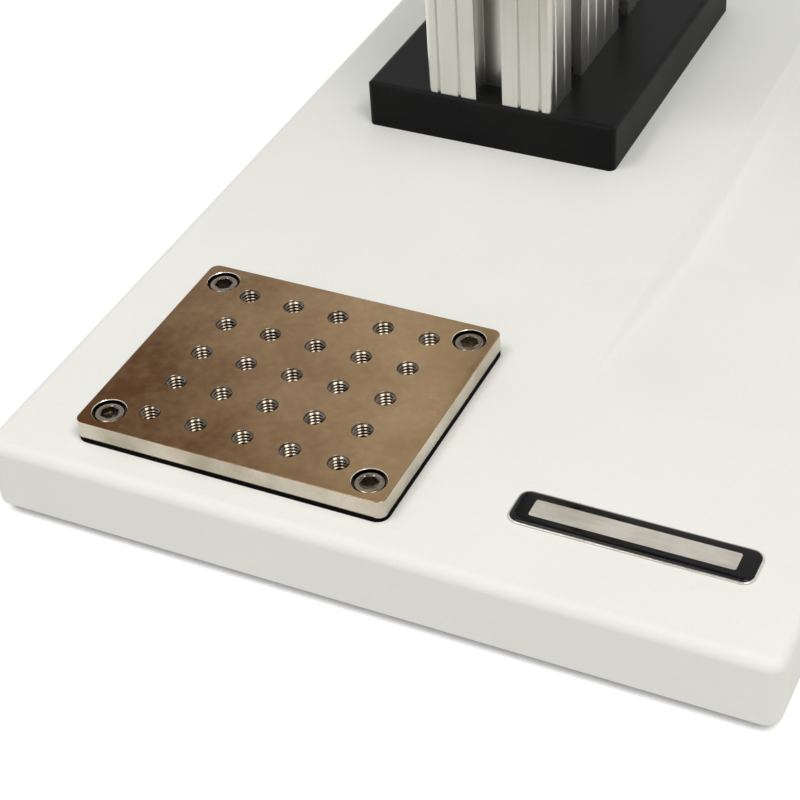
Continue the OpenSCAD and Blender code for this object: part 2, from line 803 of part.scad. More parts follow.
// Places things at the glide strips: four on the cheeks, two in front and two behind.
// A strip is drawn with its seat towards +X, its sliding face at zero
module at_cheek_strips()
    for (side = [0, 1], y = strip_side_y)
        translate([0, y, carriage_z]) mirror([side, 0, 0])
            translate([col_w / 2 + glide_gap, 0, 0]) children();
module at_front_strips()
    for (x = [-1, 1]) translate([x * strip_front_x, throat - glide_gap, carriage_z]) rotate(-90) children();
module at_back_strips()
    for (x = [-1, 1]) translate([x * strip_front_x, col_back + glide_gap, carriage_z]) rotate(90) children();

module strip(play = 0)
    translate([0, -glide_w / 2 - play, -strip_h / 2 - play])
        cube([glide_proud + glide_sink + play, glide_w + 2 * play, strip_h + 2 * play]);

module glide_strips()
    color([0.9, 0.9, 0.86]) {
        at_cheek_strips() strip();
        at_front_strips() strip();
        at_back_strips() strip();
    }

module carriage_body()
    color([0.12, 0.12, 0.12])
    difference() {
        translate([0, (carriage_y0 + inner_y1) / 2, carriage_z1])
            bevelled_slab(carriage_w, inner_y1 - carriage_y0, carriage_h, carriage_corner_r, carriage_bevel);
        // the column's passage, open at the back
        translate([-inner_x, inner_y0, carriage_z0 - eps])
            cube([2 * inner_x, inner_y1 - inner_y0 + eps, carriage_h + 2 * eps]);
        // the rack's groove and the pinion's chamber
        translate([-rack_w / 2 - 0.8, rack_tip_y - 1, carriage_z0 - eps])
            cube([rack_w + 1.6, inner_y0 - rack_tip_y + 1 + eps, carriage_h + 2 * eps]);
        rod_x(-pinion_w / 2 - 0.6, pinion_w / 2 + 0.6, pinion_y, carriage_z, tip_r + gear_room);
        // the shaft's bore and the seats of its bushes
        rod_x(-carriage_w / 2 - eps, carriage_w / 2 + eps, pinion_y, carriage_z, shaft_r + 0.5);
        for (side = [0, 1]) mirror([side, 0, 0])
            rod_x(carriage_w / 2 - bush_len, carriage_w / 2 + eps, pinion_y, carriage_z, bush_r + fit);
        at_cheek_strips() strip(seat_t);
        at_front_strips() strip(seat_t);
        // set screws behind the right-hand strips
        for (y = strip_side_y, z = gib_rows)
            rod_x(inner_x, carriage_w / 2 + eps, y, carriage_z + z, gib_r + fit);
        // lock: a seat for the brake pad and the stem's bore
        rod_x(-inner_x - brake_sink, -inner_x + eps, lock_y, carriage_z, brake_r + seat_t);
        rod_x(-carriage_w / 2 - eps, -inner_x, lock_y, carriage_z, lock_stem_r + 0.05);
        // tapped holes for the rear plate, the arm and the pointer
        for (x = [-1, 1], z = rear_screw_rows)
            rod_y(inner_y1 - rear_screw_grip, inner_y1 + eps,
                x * rear_screw_x, carriage_z + z, rear_screw_r + fit);
        for (z = [-1, 1])
            rod_y(carriage_y0 - eps, carriage_y0 + arm_bolt_grip,
                0, carriage_z + z * arm_bolt_z, arm_bolt_r + fit);
        translate([-rear_screw_x, col_mid_y, carriage_z1 - pointer_screw_len])
            cylinder(pointer_screw_len + eps, r = pointer_screw_r + fit);
    }

module rear_plate()
    color([0.12, 0.12, 0.12])
    difference() {
        translate([0, inner_y1 + rear_t, carriage_z]) rotate([-90, 0, 0])
            bevelled_slab(carriage_w, carriage_h, rear_t, carriage_corner_r, carriage_bevel);
        at_back_strips() strip(seat_t);
        for (x = [-1, 1], z = rear_screw_rows) {
            rod_y(inner_y1 - eps, inner_y1 + rear_t + eps,
                x * rear_screw_x, carriage_z + z, rear_screw_r + plate_hole_play);
            rod_y(inner_y1 + rear_t - rear_screw_seat, inner_y1 + rear_t + eps,
                x * rear_screw_x, carriage_z + z, rear_screw_head_r + 0.4);
        }
    }

module rear_plate_screws()
    color([0.25, 0.25, 0.25])
    for (x = [-1, 1], z = rear_screw_rows)
        translate([x * rear_screw_x, inner_y1 + rear_t - rear_screw_seat, carriage_z + z])
            rotate([-90, 0, 0])
            socket_screw(rear_screw_r, rear_t - rear_screw_seat + rear_screw_grip - 1,
                rear_screw_head_r, rear_screw_head_h, 4);

module gib_screws()
    color([0.3, 0.3, 0.3])
    for (y = strip_side_y, z = gib_rows) difference() {
        rod_x(inner_x + glide_sink + seat_t, carriage_w / 2 - gib_recess, y, carriage_z + z, gib_r);
        translate([carriage_w / 2 - gib_recess - gib_key_depth, y, carriage_z + z]) rotate([0, 90, 0])
            cylinder(gib_recess + gib_key_depth, d = 2.6, $fn = 6);
    }

module shaft_bushes()
    color([0.72, 0.55, 0.3])
    for (side = [0, 1]) mirror([side, 0, 0]) difference() {
        union() {
            rod_x(carriage_w / 2 - bush_len, carriage_w / 2, pinion_y, carriage_z, bush_r);
            rod_x(carriage_w / 2, carriage_w / 2 + bush_flange_t, pinion_y, carriage_z, bush_flange_r);
        }
        rod_x(carriage_w / 2 - bush_len - eps, carriage_w / 2 + bush_flange_t + eps,
            pinion_y, carriage_z, shaft_r + shaft_play);
    }

module brake_pad()
    color([0.6, 0.45, 0.25])
    rod_x(-inner_x - brake_sink + seat_t, -col_w / 2 - glide_gap, lock_y, carriage_z, brake_r);

module scale_pointer()
    color([0.8, 0.1, 0.08])
    difference() {
        translate([0, col_mid_y, carriage_z1]) linear_extrude(pointer_t) polygon([
            [-carriage_w / 2 + 3, -pointer_w / 2], [-inner_x, -pointer_w / 2],
            [-col_w / 2 - strip_scale_t - 0.4, 0],
            [-inner_x, pointer_w / 2], [-carriage_w / 2 + 3, pointer_w / 2]
        ]);
        translate([-rear_screw_x, col_mid_y, carriage_z1 - eps])
            cylinder(pointer_t + 2 * eps, r = pointer_screw_r + 0.1);
    }

module pointer_screw()
    color([0.5, 0.5, 0.5])
    translate([-rear_screw_x, col_mid_y, carriage_z1 + pointer_t])
        socket_screw(pointer_screw_r, pointer_t + pointer_screw_len - 1, 2.8, 1.6, 1.8);

// Side view of the arm as (Y, Z), about the carriage's height
module arm_outline()
    polygon([
        [gauge_back, -arm_tip_h / 2], [carriage_y0, -arm_h / 2],
        [carriage_y0, arm_h / 2], [gauge_back, arm_tip_h / 2]
    ]);

// The hollow in each side of the arm, between its flanges
module arm_pocket()
    polygon([
        [gauge_back + arm_flange_t, -arm_tip_h / 2 + 9], [carriage_y0 - arm_flange_t, -arm_h / 2 + 8],
        [carriage_y0 - arm_flange_t, arm_h / 2 - 8], [gauge_back + arm_flange_t, arm_tip_h / 2 - 9]
    ]);

module arm()
    color([0.72, 0.72, 0.71])
    difference() {
        translate([0, 0, carriage_z]) along_x(arm_w) arm_outline();
        for (x = [-1, 1]) translate([x * (arm_web / 2 + arm_w / 4), 0, carriage_z])
            along_x(arm_w / 2) arm_pocket();
        for (z = [-1, 1]) {
            rod_y(gauge_back - eps, carriage_y0 + eps, 0, carriage_z + z * arm_bolt_z, arm_bolt_r + 0.2);
            rod_y(gauge_back - eps, gauge_back + arm_bolt_head_h + 0.5,
                0, carriage_z + z * arm_bolt_z, arm_bolt_head_r + 0.4);
        }
        for (x = [-1, 1], z = [-1, 1])
            rod_y(gauge_back - eps, gauge_back + gauge_screw_grip,
                x * gauge_screw_x, carriage_z + z * gauge_screw_z, gauge_screw_r + fit);
    }

module arm_bolts()
    color([0.25, 0.25, 0.25])
    for (z = [-1, 1])
        translate([0, gauge_back + arm_bolt_head_h + 0.5, carriage_z + z * arm_bolt_z]) rotate([90, 0, 0])
            socket_screw(arm_bolt_r, carriage_y0 - gauge_back - arm_bolt_head_h - 0.5 + arm_bolt_grip - 1,
                arm_bolt_head_r, arm_bolt_head_h, 5.8);

module gauge_plate()
    color([0.75, 0.75, 0.74])
    difference() {
        translate([0, gauge_face, carriage_z - gauge_drop]) rotate([90, 0, 0])
            bevelled_slab(gauge_w, gauge_h, gauge_t, 4, 0.8);
        for (x = [-1, 1], z = [-1, 1]) {
            rod_y(gauge_face - eps, gauge_back + eps,
                x * gauge_screw_x, carriage_z + z * gauge_screw_z, gauge_screw_r + 0.2);
            rod_y(gauge_face - eps, gauge_face + gauge_screw_head_h + 0.5,
                x * gauge_screw_x, carriage_z + z * gauge_screw_z, gauge_screw_head_r + 0.4);
        }
        for (x = [-1, 1], z = thumb_z)
            rod_y(gauge_face - eps, gauge_back + eps,
                x * thumb_x, carriage_z - gauge_drop + z, thumb_r + thread_play);
        for (x = [-1, 1], z = [-1, 1])
            rod_y(gauge_face - eps, gauge_back + eps,
                x * gauge_hole_x / 2, carriage_z + gauge_hole_mid + z * gauge_hole_z / 2, gauge_hole_r);
    }

module gauge_plate_screws()
    color([0.3, 0.3, 0.3])
    for (x = [-1, 1], z = [-1, 1])
        translate([x * gauge_screw_x, gauge_face + gauge_screw_head_h + 0.5, carriage_z + z * gauge_screw_z])
            rotate([90, 0, 0])
            socket_screw(gauge_screw_r, gauge_t - gauge_screw_head_h - 0.5 + gauge_screw_grip - 1,
                gauge_screw_head_r, gauge_screw_head_h, 4);

// A screw that holds the gauge, turned by hand from behind the gauge plate
module gauge_thumb_screw(x, z)
    color([0.1, 0.1, 0.1])
    translate([x * thumb_x, gauge_back + rest_gap, carriage_z - gauge_drop + z]) rotate([-90, 0, 0])
        thumb_screw(thumb_r, gauge_t + rest_gap + thumb_reach, thumb_head_r, thumb_head_t);

module thumb_screw_1() gauge_thumb_screw(-1, thumb_z[0]);
module thumb_screw_2() gauge_thumb_screw(1, thumb_z[0]);
module thumb_screw_3() gauge_thumb_screw(-1, thumb_z[1]);
module thumb_screw_4() gauge_thumb_screw(1, thumb_z[1]);

// Roll angle of an involute flank at a radius, in degrees
function involute(radius) = let (c = involute_r / radius, a = acos(c)) tan(a) * 180 / PI - a;

// Half the angle that a pinion tooth spans at a radius
function tooth_half(radius) =
    90 / pinion_teeth - backlash / 4 / pitch_r * 180 / PI
    + involute(pitch_r) - involute(max(radius, involute_r));

// Pinion outline as (Y, Z) about its axis, with a gap between teeth facing +Y
module pinion_outline() {
    steps = [for (k = [0:5]) involute_r + (tip_r - involute_r) * k / 5];
    flank = concat([root_r], steps);
    polygon([
        for (t = [0:pinion_teeth - 1], s = [-1, 1], k = [0:len(flank) - 1])
            let (radius = flank[s < 0 ? k : len(flank) - 1 - k],
                 angle = (t + 0.5) * 360 / pinion_teeth + s * tooth_half(radius))
            [radius * cos(angle), radius * sin(angle)]
    ]);
}

module pinion()
    color([0.6, 0.58, 0.5])
    difference() {
        translate([0, pinion_y, carriage_z]) along_x(pinion_w) pinion_outline();
        rod_x(-pinion_w, pinion_w, pinion_y, carriage_z, shaft_r + fit);
    }

module pinion_pin()
    color([0.4, 0.4, 0.4])
    translate([0, pinion_y, carriage_z - shaft_r + 0.5]) cylinder(2 * shaft_r - 1, r = 1.2 - fit);

module pinion_shaft()
    color([0.7, 0.7, 0.7])
    difference() {
        rod_x(-carriage_w / 2 - shaft_end_gap - collar_t - 1, hub_x1 - 2, pinion_y, carriage_z, shaft_r);
        translate([0, pinion_y, carriage_z - shaft_r - eps]) cylinder(2 * (shaft_r + eps), r = 1.2);
        rod_x(hub_x1 - 2 - hub_screw_len, hub_x1, pinion_y, carriage_z, hub_screw_r + fit);
    }

module shaft_collar()
    color([0.2, 0.2, 0.2])
    translate([-carriage_w / 2 - shaft_end_gap, pinion_y, carriage_z]) rotate([0, -90, 0])
        difference() {
            bevelled_disc(collar_r, collar_t, 0.8);
            translate([0, 0, -eps]) cylinder(collar_t + 2 * eps, r = shaft_r + fit);
            translate([0, 0, collar_t / 2]) rotate([-90, 0, 0]) cylinder(collar_r + eps, r = 2);
        }

// Turns a shape drawn with its axis on Z so that it runs along the shaft's line
module on_shaft(x) translate([x, pinion_y, carriage_z]) rotate([0, 90, 0]) children();

// One spoke: a tapering bar from the hub out to the rim, dished towards the rim's plane
module spoke()
    hull() {
        translate([hub_r - 3, 0, spoke_root_x]) cylinder(spoke_root_t, r = spoke_root, $fn = 32);
        translate([wheel_r - 1, 0, -spoke_tip_t / 2]) cylinder(spoke_tip_t, r = spoke_tip, $fn = 32);
    }

module hand_wheel()
    color([0.06, 0.06, 0.06])
    difference() {
        on_shaft(wheel_x) {
            rotate_extrude($fn = 96) translate([wheel_r, 0]) circle(rim_r, $fn = 32);
            translate([0, 0, hub_x0 - wheel_x]) rotate_extrude() polygon([
                [0, 0], [hub_r - 3, 0], [hub_r - 2, 1], [hub_r, hub_x1 - hub_x0 - hub_flange],
                [hub_r, hub_x1 - hub_x0 - 1.5], [hub_r - 1.5, hub_x1 - hub_x0], [0, hub_x1 - hub_x0]
            ]);
            for (k = [0:spoke_count - 1]) rotate(crank_angle + k * 360 / spoke_count) spoke();
            // boss that carries the crank handle
            rotate(crank_angle) translate([wheel_r, 0, 0]) cylinder(rim_r + 1.2, r = rim_r + 0.5);
        }
        rod_x(hub_x0 - eps, hub_x1 - 2, pinion_y, carriage_z, shaft_r + fit);
        rod_x(hub_x1 - 3, hub_x1 + eps, pinion_y, carriage_z, hub_screw_r + 0.3);
        on_shaft(wheel_x) rotate(crank_angle)
            translate([wheel_r, 0, -rim_r + 1]) cylinder(2 * rim_r + 3, r = handle_bolt_r + fit);
    }

module hub_screw()
    color([0.7, 0.7, 0.7])
    on_shaft(hub_x1) union() {
        cylinder(1.2, r = hub_cap_r);
        translate([0, 0, 1.2]) socket_screw(hub_screw_r, hub_screw_len, hub_cap_r * 0.55, 3, 4);
    }

// The shoulder bolt that the crank handle turns on
module handle_bolt()
    color([0.7, 0.7, 0.7])
    on_shaft(handle_x0 + handle_len - handle_head_h - 1) rotate(crank_angle) translate([wheel_r, 0, 0])
        socket_screw(handle_bolt_r, handle_len - handle_head_h - 1 + rest_gap + 1.2 + 2 * rim_r - 2,
            handle_head_r, handle_head_h, 4);

module crank_handle()
    color([0.06, 0.06, 0.06])
    on_shaft(handle_x0) rotate(crank_angle) translate([wheel_r, 0, 0])
        difference() {
            rotate_extrude() polygon(concat(
                [[0, 0], [handle_r * 0.72, 0]],
                [for (k = [0:10]) [
                    handle_r * (0.74 + 0.26 * sin(180 * pow(k / 10, 1.3))),
                    1.5 + (handle_len - 5) * k / 10
                ]],
                [[handle_r * 0.62, handle_len - 0.6], [handle_r * 0.5, handle_len], [0, handle_len]]
            ));
            translate([0, 0, -eps]) cylinder(handle_len + 2 * eps, r = handle_bolt_r + handle_play);
            translate([0, 0, handle_len - handle_head_h - 1])
                cylinder(handle_head_h + 2, r = handle_head_r + 0.15);
        }

// The lock's line runs out to -X at the rear slot's height
module on_lock(x) translate([x, lock_y, carriage_z]) rotate([0, -90, 0]) children();

module lock_knob()
    color([0.06, 0.06, 0.06])
    difference() {
        on_lock(-carriage_w / 2 - rest_gap) {
            cylinder(lock_boss_t + 1, r = lock_r * 0.5);
            translate([0, 0, lock_boss_t]) difference() {
                bevelled_disc(lock_r, lock_knob_t - lock_boss_t, 1.6);
                for (k = [0:6]) rotate(k * 360 / 7) translate([lock_r + 3, 0, -eps])
                    cylinder(lock_knob_t + eps, r = 6);
            }
        }
        rod_x(-carriage_w / 2 - 11, -carriage_w / 2 + eps, lock_y, carriage_z, lock_stem_r + fit);
    }

module lock_stem()
    color([0.6, 0.6, 0.6])
    rod_x(-carriage_w / 2 - 10.5, -inner_x - brake_sink - 0.25, lock_y, carriage_z, lock_stem_r);

base();
rubber_feet();
foot_screws();
plate_pad();
grid_plate();
plate_screws();
name_plate();
column_foot();
foot_bolts();
column();
column_bolts();
column_cap();
gear_rack();
rack_screws();
rack_nuts();
scale_strip();
lower_stop();
lower_stop_nut();
lower_stop_screw();
upper_stop();
upper_stop_nut();
upper_stop_screw();
carriage_body();
rear_plate();
rear_plate_screws();
glide_strips();
gib_screws();
shaft_bushes();
brake_pad();
scale_pointer();
pointer_screw();
arm();
arm_bolts();
gauge_plate();
gauge_plate_screws();
thumb_screw_1();
thumb_screw_2();
thumb_screw_3();
thumb_screw_4();
pinion();
pinion_pin();
pinion_shaft();
shaft_collar();
hand_wheel();
hub_screw();
handle_bolt();
crank_handle();
lock_knob();
lock_stem();
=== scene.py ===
# %% [markdown]
# # A manual force test stand
#
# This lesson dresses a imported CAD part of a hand-operated force test stand. The stand has a cast
# base, a steel plate with a grid of tapped holes, a slotted aluminium column, and a carriage that
# a hand wheel drives along a gear rack. Most parts keep their CAD shape and get a finish. Those
# that need softer edges or finer detail are modelled again in the same place.

# %% load the frame
import json
import math

import bmesh
import bpy
from mathutils import Euler, Matrix, Vector


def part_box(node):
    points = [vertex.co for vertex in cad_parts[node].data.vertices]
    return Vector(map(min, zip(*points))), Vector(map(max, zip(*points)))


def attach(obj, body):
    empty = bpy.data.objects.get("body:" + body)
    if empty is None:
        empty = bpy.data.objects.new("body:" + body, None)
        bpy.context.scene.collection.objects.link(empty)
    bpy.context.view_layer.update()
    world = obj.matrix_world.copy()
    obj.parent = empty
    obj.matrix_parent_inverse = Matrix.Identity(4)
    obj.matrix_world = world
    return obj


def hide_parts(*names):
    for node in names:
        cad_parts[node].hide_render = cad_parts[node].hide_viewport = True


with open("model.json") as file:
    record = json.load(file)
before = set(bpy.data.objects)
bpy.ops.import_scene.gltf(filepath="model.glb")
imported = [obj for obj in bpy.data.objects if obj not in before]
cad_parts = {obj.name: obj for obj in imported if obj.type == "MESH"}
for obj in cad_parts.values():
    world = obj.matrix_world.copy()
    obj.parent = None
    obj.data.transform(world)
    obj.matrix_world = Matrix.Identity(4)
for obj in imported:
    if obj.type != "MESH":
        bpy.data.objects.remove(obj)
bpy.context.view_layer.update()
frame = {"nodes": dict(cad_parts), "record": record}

# %% [markdown]
# ## The camera
#
# The camera comes first, because it decides how much detail each piece needs. Its place was worked
# out from the 25 holes of the plate and the straight edges of the base: it looks down at the front
# right corner from a little above the bench. A long lens keeps the far edges from shrinking.

# %% place the camera
MM = 0.001
camera_data = bpy.data.cameras.new("bench_camera")
camera_data.sensor_width = 36
camera_data.lens = 93.18
camera_data.clip_start = 0.01
camera = bpy.data.objects.new("bench_camera", camera_data)
camera.location = Vector((208.83, -342.65, 310.23)) * MM
camera.rotation_euler = Euler([math.radians(a) for a in (51.263, 3.107, 25.160)])
bpy.context.scene.collection.objects.link(camera)
bpy.context.scene.camera = camera
print("lens", camera_data.lens, "mm at", list(camera.location))

# %% [markdown]
# ## Light and floor
#
# A small object on a bench is lit by two soft lamps that hang high in front of it, so the shadow of
# the tall column falls away from the camera. The right one is the stronger. Each draws its own line
# of glints on the threads, as in the photo. The world fills the shadows. To anything that looks
# straight at it, the world is plain white, and so metal mirrors that white too, but it lights the
# object at a lower level.

# %% set the world and the view
scene = bpy.context.scene
scene.view_settings.view_transform = "Standard"
world = bpy.data.worlds.new("studio")
world.use_nodes = True
scene.world = world
FILL_LEVEL = 0.5


def seen_directly(nodes, links):
    """A value that is 1 for camera, glossy and transmission rays, and 0 for the rest."""
    path = nodes.new("ShaderNodeLightPath")
    either = nodes.new("ShaderNodeMath")
    either.operation = "ADD"
    links.new(path.outputs["Is Camera Ray"], either.inputs[0])
    links.new(path.outputs["Is Glossy Ray"], either.inputs[1])
    all_three = nodes.new("ShaderNodeMath")
    all_three.operation = "ADD"
    all_three.use_clamp = True
    links.new(either.outputs[0], all_three.inputs[0])
    links.new(path.outputs["Is Transmission Ray"], all_three.inputs[1])
    return all_three.outputs[0]


sky = world.node_tree.nodes
sky_links = world.node_tree.links
sky["Background"].inputs["Color"].default_value = (1, 1, 1, 1)
sky["Background"].inputs["Strength"].default_value = FILL_LEVEL
white = sky.new("ShaderNodeBackground")
white.inputs["Color"].default_value = (1, 1, 1, 1)
choose = sky.new("ShaderNodeMixShader")
sky_links.new(seen_directly(sky, sky_links), choose.inputs["Fac"])
sky_links.new(sky["Background"].outputs[0], choose.inputs[1])
sky_links.new(white.outputs[0], choose.inputs[2])
sky_links.new(choose.outputs[0], sky["World Output"].inputs["Surface"])
print("world ready, fill level", FILL_LEVEL)


# %% hang the lamps
def soft_lamp(name, place, target, size, watts, tint):
    """A square soft box that hangs at a place and faces a target."""
    data = bpy.data.lights.new(name, "AREA")
    data.size = size
    data.energy = watts
    data.color = tint
    lamp = bpy.data.objects.new(name, data)
    lamp.location = place
    lamp.rotation_euler = (Vector(target) - Vector(place)).to_track_quat("-Z", "Y").to_euler()
    scene.collection.objects.link(lamp)
    return lamp


soft_lamp("right_box", (0.64, -0.3, 1.34), (0.03, 0.06, 0), 0.55, 9.3, (1, 0.99, 0.965))
soft_lamp("left_box", (-0.42, -0.46, 1.34), (0.03, 0.06, 0), 0.45, 5.4, (1, 0.995, 0.975))

# %% [markdown]
# The floor is a large sheet at the height of the rubber feet. It reflects like pale paper, and has
# a glow of its own for rays that see it directly, so it comes out white. An occlusion node fades
# the glow in the narrow gap under the casting, a painted contact shadow that leaves a thin dark
# line there.

# %% lay the floor
table_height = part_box("rubber_feet")[0].z
floor_mesh = bpy.data.meshes.new("floor")
floor_bm = bmesh.new()
bmesh.ops.create_grid(floor_bm, x_segments=1, y_segments=1, size=6,
                      matrix=Matrix.Translation((0, 0, table_height)))
floor_bm.to_mesh(floor_mesh)
floor_bm.free()
floor = bpy.data.objects.new("floor", floor_mesh)
scene.collection.objects.link(floor)
paper = bpy.data.materials.new("pale_paper")
paper.use_nodes = True
paper_nodes, paper_links = paper.node_tree.nodes, paper.node_tree.links
paper_nodes.remove(paper_nodes["Principled BSDF"])
bounce = paper_nodes.new("ShaderNodeBsdfDiffuse")
bounce.inputs["Color"].default_value = (0.82, 0.82, 0.79, 1)
seen = paper_nodes.new("ShaderNodeBsdfDiffuse")
seen.inputs["Color"].default_value = (0.2, 0.2, 0.2, 1)
glow = paper_nodes.new("ShaderNodeEmission")
# An occlusion node paints a contact shadow: it dims the glow within 5 mm of the casting.
gap = paper_nodes.new("ShaderNodeAmbientOcclusion")
gap.inputs["Distance"].default_value = 5 * MM
gap.samples = 16
level = paper_nodes.new("ShaderNodeMapRange")
level.inputs["From Min"].default_value = 0.4
level.inputs["From Max"].default_value = 0.54
level.inputs["To Min"].default_value = 0.1
level.inputs["To Max"].default_value = 0.87
paper_links.new(gap.outputs["AO"], level.inputs["Value"])
paper_links.new(level.outputs["Result"], glow.inputs["Strength"])
lit = paper_nodes.new("ShaderNodeAddShader")
pick = paper_nodes.new("ShaderNodeMixShader")
paper_links.new(seen.outputs[0], lit.inputs[0])
paper_links.new(glow.outputs[0], lit.inputs[1])
paper_links.new(seen_directly(paper_nodes, paper_links), pick.inputs["Fac"])
paper_links.new(bounce.outputs[0], pick.inputs[1])
paper_links.new(lit.outputs[0], pick.inputs[2])
paper_links.new(pick.outputs[0], paper_nodes["Material Output"].inputs["Surface"])
floor_mesh.materials.append(paper)
print("floor at", round(table_height / MM, 2), "mm")

# %% [markdown]
# ## Finishes
#
# Every finish is a Principled shader with two layers of noise in object coordinates. A coarse layer
# varies the colour and the gloss, as handling and oil do. A fine layer makes a bump: the orange
# peel of powder coat, the grain of ground steel, or the die lines of an extrusion, where the noise
# is stretched along one axis. A small bevel in the shader rounds the sharp CAD edges for the eye,
# and an optional slope vector paints a reflection into the colour, so one side of a piece comes out
# lighter than the other, as a lamp's reflection would make it.


# %% a maker of finishes
def finish(name, dark, light, rough, metallic=0.0, patch=30, fine=600, stretch=(1, 1, 1),
           bump=0.15, bump_depth=0.00005, edge=0.0, specular=0.5, mottle=1.0,
           sheen_slope=None):
    """A noise-driven Principled material. Sizes of the noise are given in cells per metre."""
    material = bpy.data.materials.new(name)
    material.use_nodes = True
    nodes, links = material.node_tree.nodes, material.node_tree.links
    shader = nodes["Principled BSDF"]
    shader.inputs["Metallic"].default_value = metallic
    shader.inputs["Specular IOR Level"].default_value = specular
    place = nodes.new("ShaderNodeTexCoord")
    grain = nodes.new("ShaderNodeMapping")
    grain.inputs["Scale"].default_value = stretch
    links.new(place.outputs["Object"], grain.inputs["Vector"])

    patches = nodes.new("ShaderNodeTexNoise")
    patches.inputs["Scale"].default_value = patch
    patches.inputs["Detail"].default_value = 5
    patches.inputs["Roughness"].default_value = 0.6
    links.new(place.outputs["Object"], patches.inputs["Vector"])
    lines = nodes.new("ShaderNodeTexNoise")
    lines.inputs["Scale"].default_value = fine
    lines.inputs["Detail"].default_value = 3
    links.new(grain.outputs["Vector"], lines.inputs["Vector"])

    blend = nodes.new("ShaderNodeMath")
    blend.operation = "MULTIPLY_ADD"
    blend.inputs[1].default_value = 0.35
    links.new(lines.outputs["Fac"], blend.inputs[0])
    links.new(patches.outputs["Fac"], blend.inputs[2])
    calm = nodes.new("ShaderNodeMath")
    calm.operation = "MULTIPLY_ADD"
    calm.inputs[1].default_value = mottle
    calm.inputs[2].default_value = 0.67 * (1 - mottle)
    links.new(blend.outputs[0], calm.inputs[0])
    ramp = nodes.new("ShaderNodeValToRGB")
    ramp.color_ramp.elements[0].position = 0.52
    ramp.color_ramp.elements[0].color = (*dark, 1)
    ramp.color_ramp.elements[1].position = 0.82
    ramp.color_ramp.elements[1].color = (*light, 1)
    links.new(calm.outputs[0], ramp.inputs["Fac"])
    # Painted reflection: a slope vector shifts the colour ramp, so one side of the piece is
    # lighter, as a lamp's reflection would make it.
    if sheen_slope:
        sheen_along = nodes.new("ShaderNodeVectorMath")
        sheen_along.operation = "DOT_PRODUCT"
        sheen_along.inputs[1].default_value = sheen_slope
        links.new(place.outputs["Object"], sheen_along.inputs[0])
        sheen_shifted = nodes.new("ShaderNodeMath")
        sheen_shifted.operation = "ADD"
        links.new(sheen_along.outputs["Value"], sheen_shifted.inputs[0])
        links.new(calm.outputs[0], sheen_shifted.inputs[1])
        links.new(sheen_shifted.outputs[0], ramp.inputs["Fac"])
    links.new(ramp.outputs["Color"], shader.inputs["Base Color"])

    gloss = nodes.new("ShaderNodeMapRange")
    gloss.inputs["From Min"].default_value = 0.3
    gloss.inputs["From Max"].default_value = 0.7
    gloss.inputs["To Min"].default_value = rough[0]
    gloss.inputs["To Max"].default_value = rough[1]
    links.new(patches.outputs["Fac"], gloss.inputs["Value"])
    links.new(gloss.outputs["Result"], shader.inputs["Roughness"])

    relief = nodes.new("ShaderNodeBump")
    relief.inputs["Strength"].default_value = bump
    relief.inputs["Distance"].default_value = bump_depth
    links.new(lines.outputs["Fac"], relief.inputs["Height"])
    if edge:
        rounded = nodes.new("ShaderNodeBevel")
        rounded.samples = 4
        rounded.inputs["Radius"].default_value = edge
        links.new(rounded.outputs["Normal"], relief.inputs["Normal"])
    links.new(relief.outputs["Normal"], shader.inputs["Normal"])
    return material


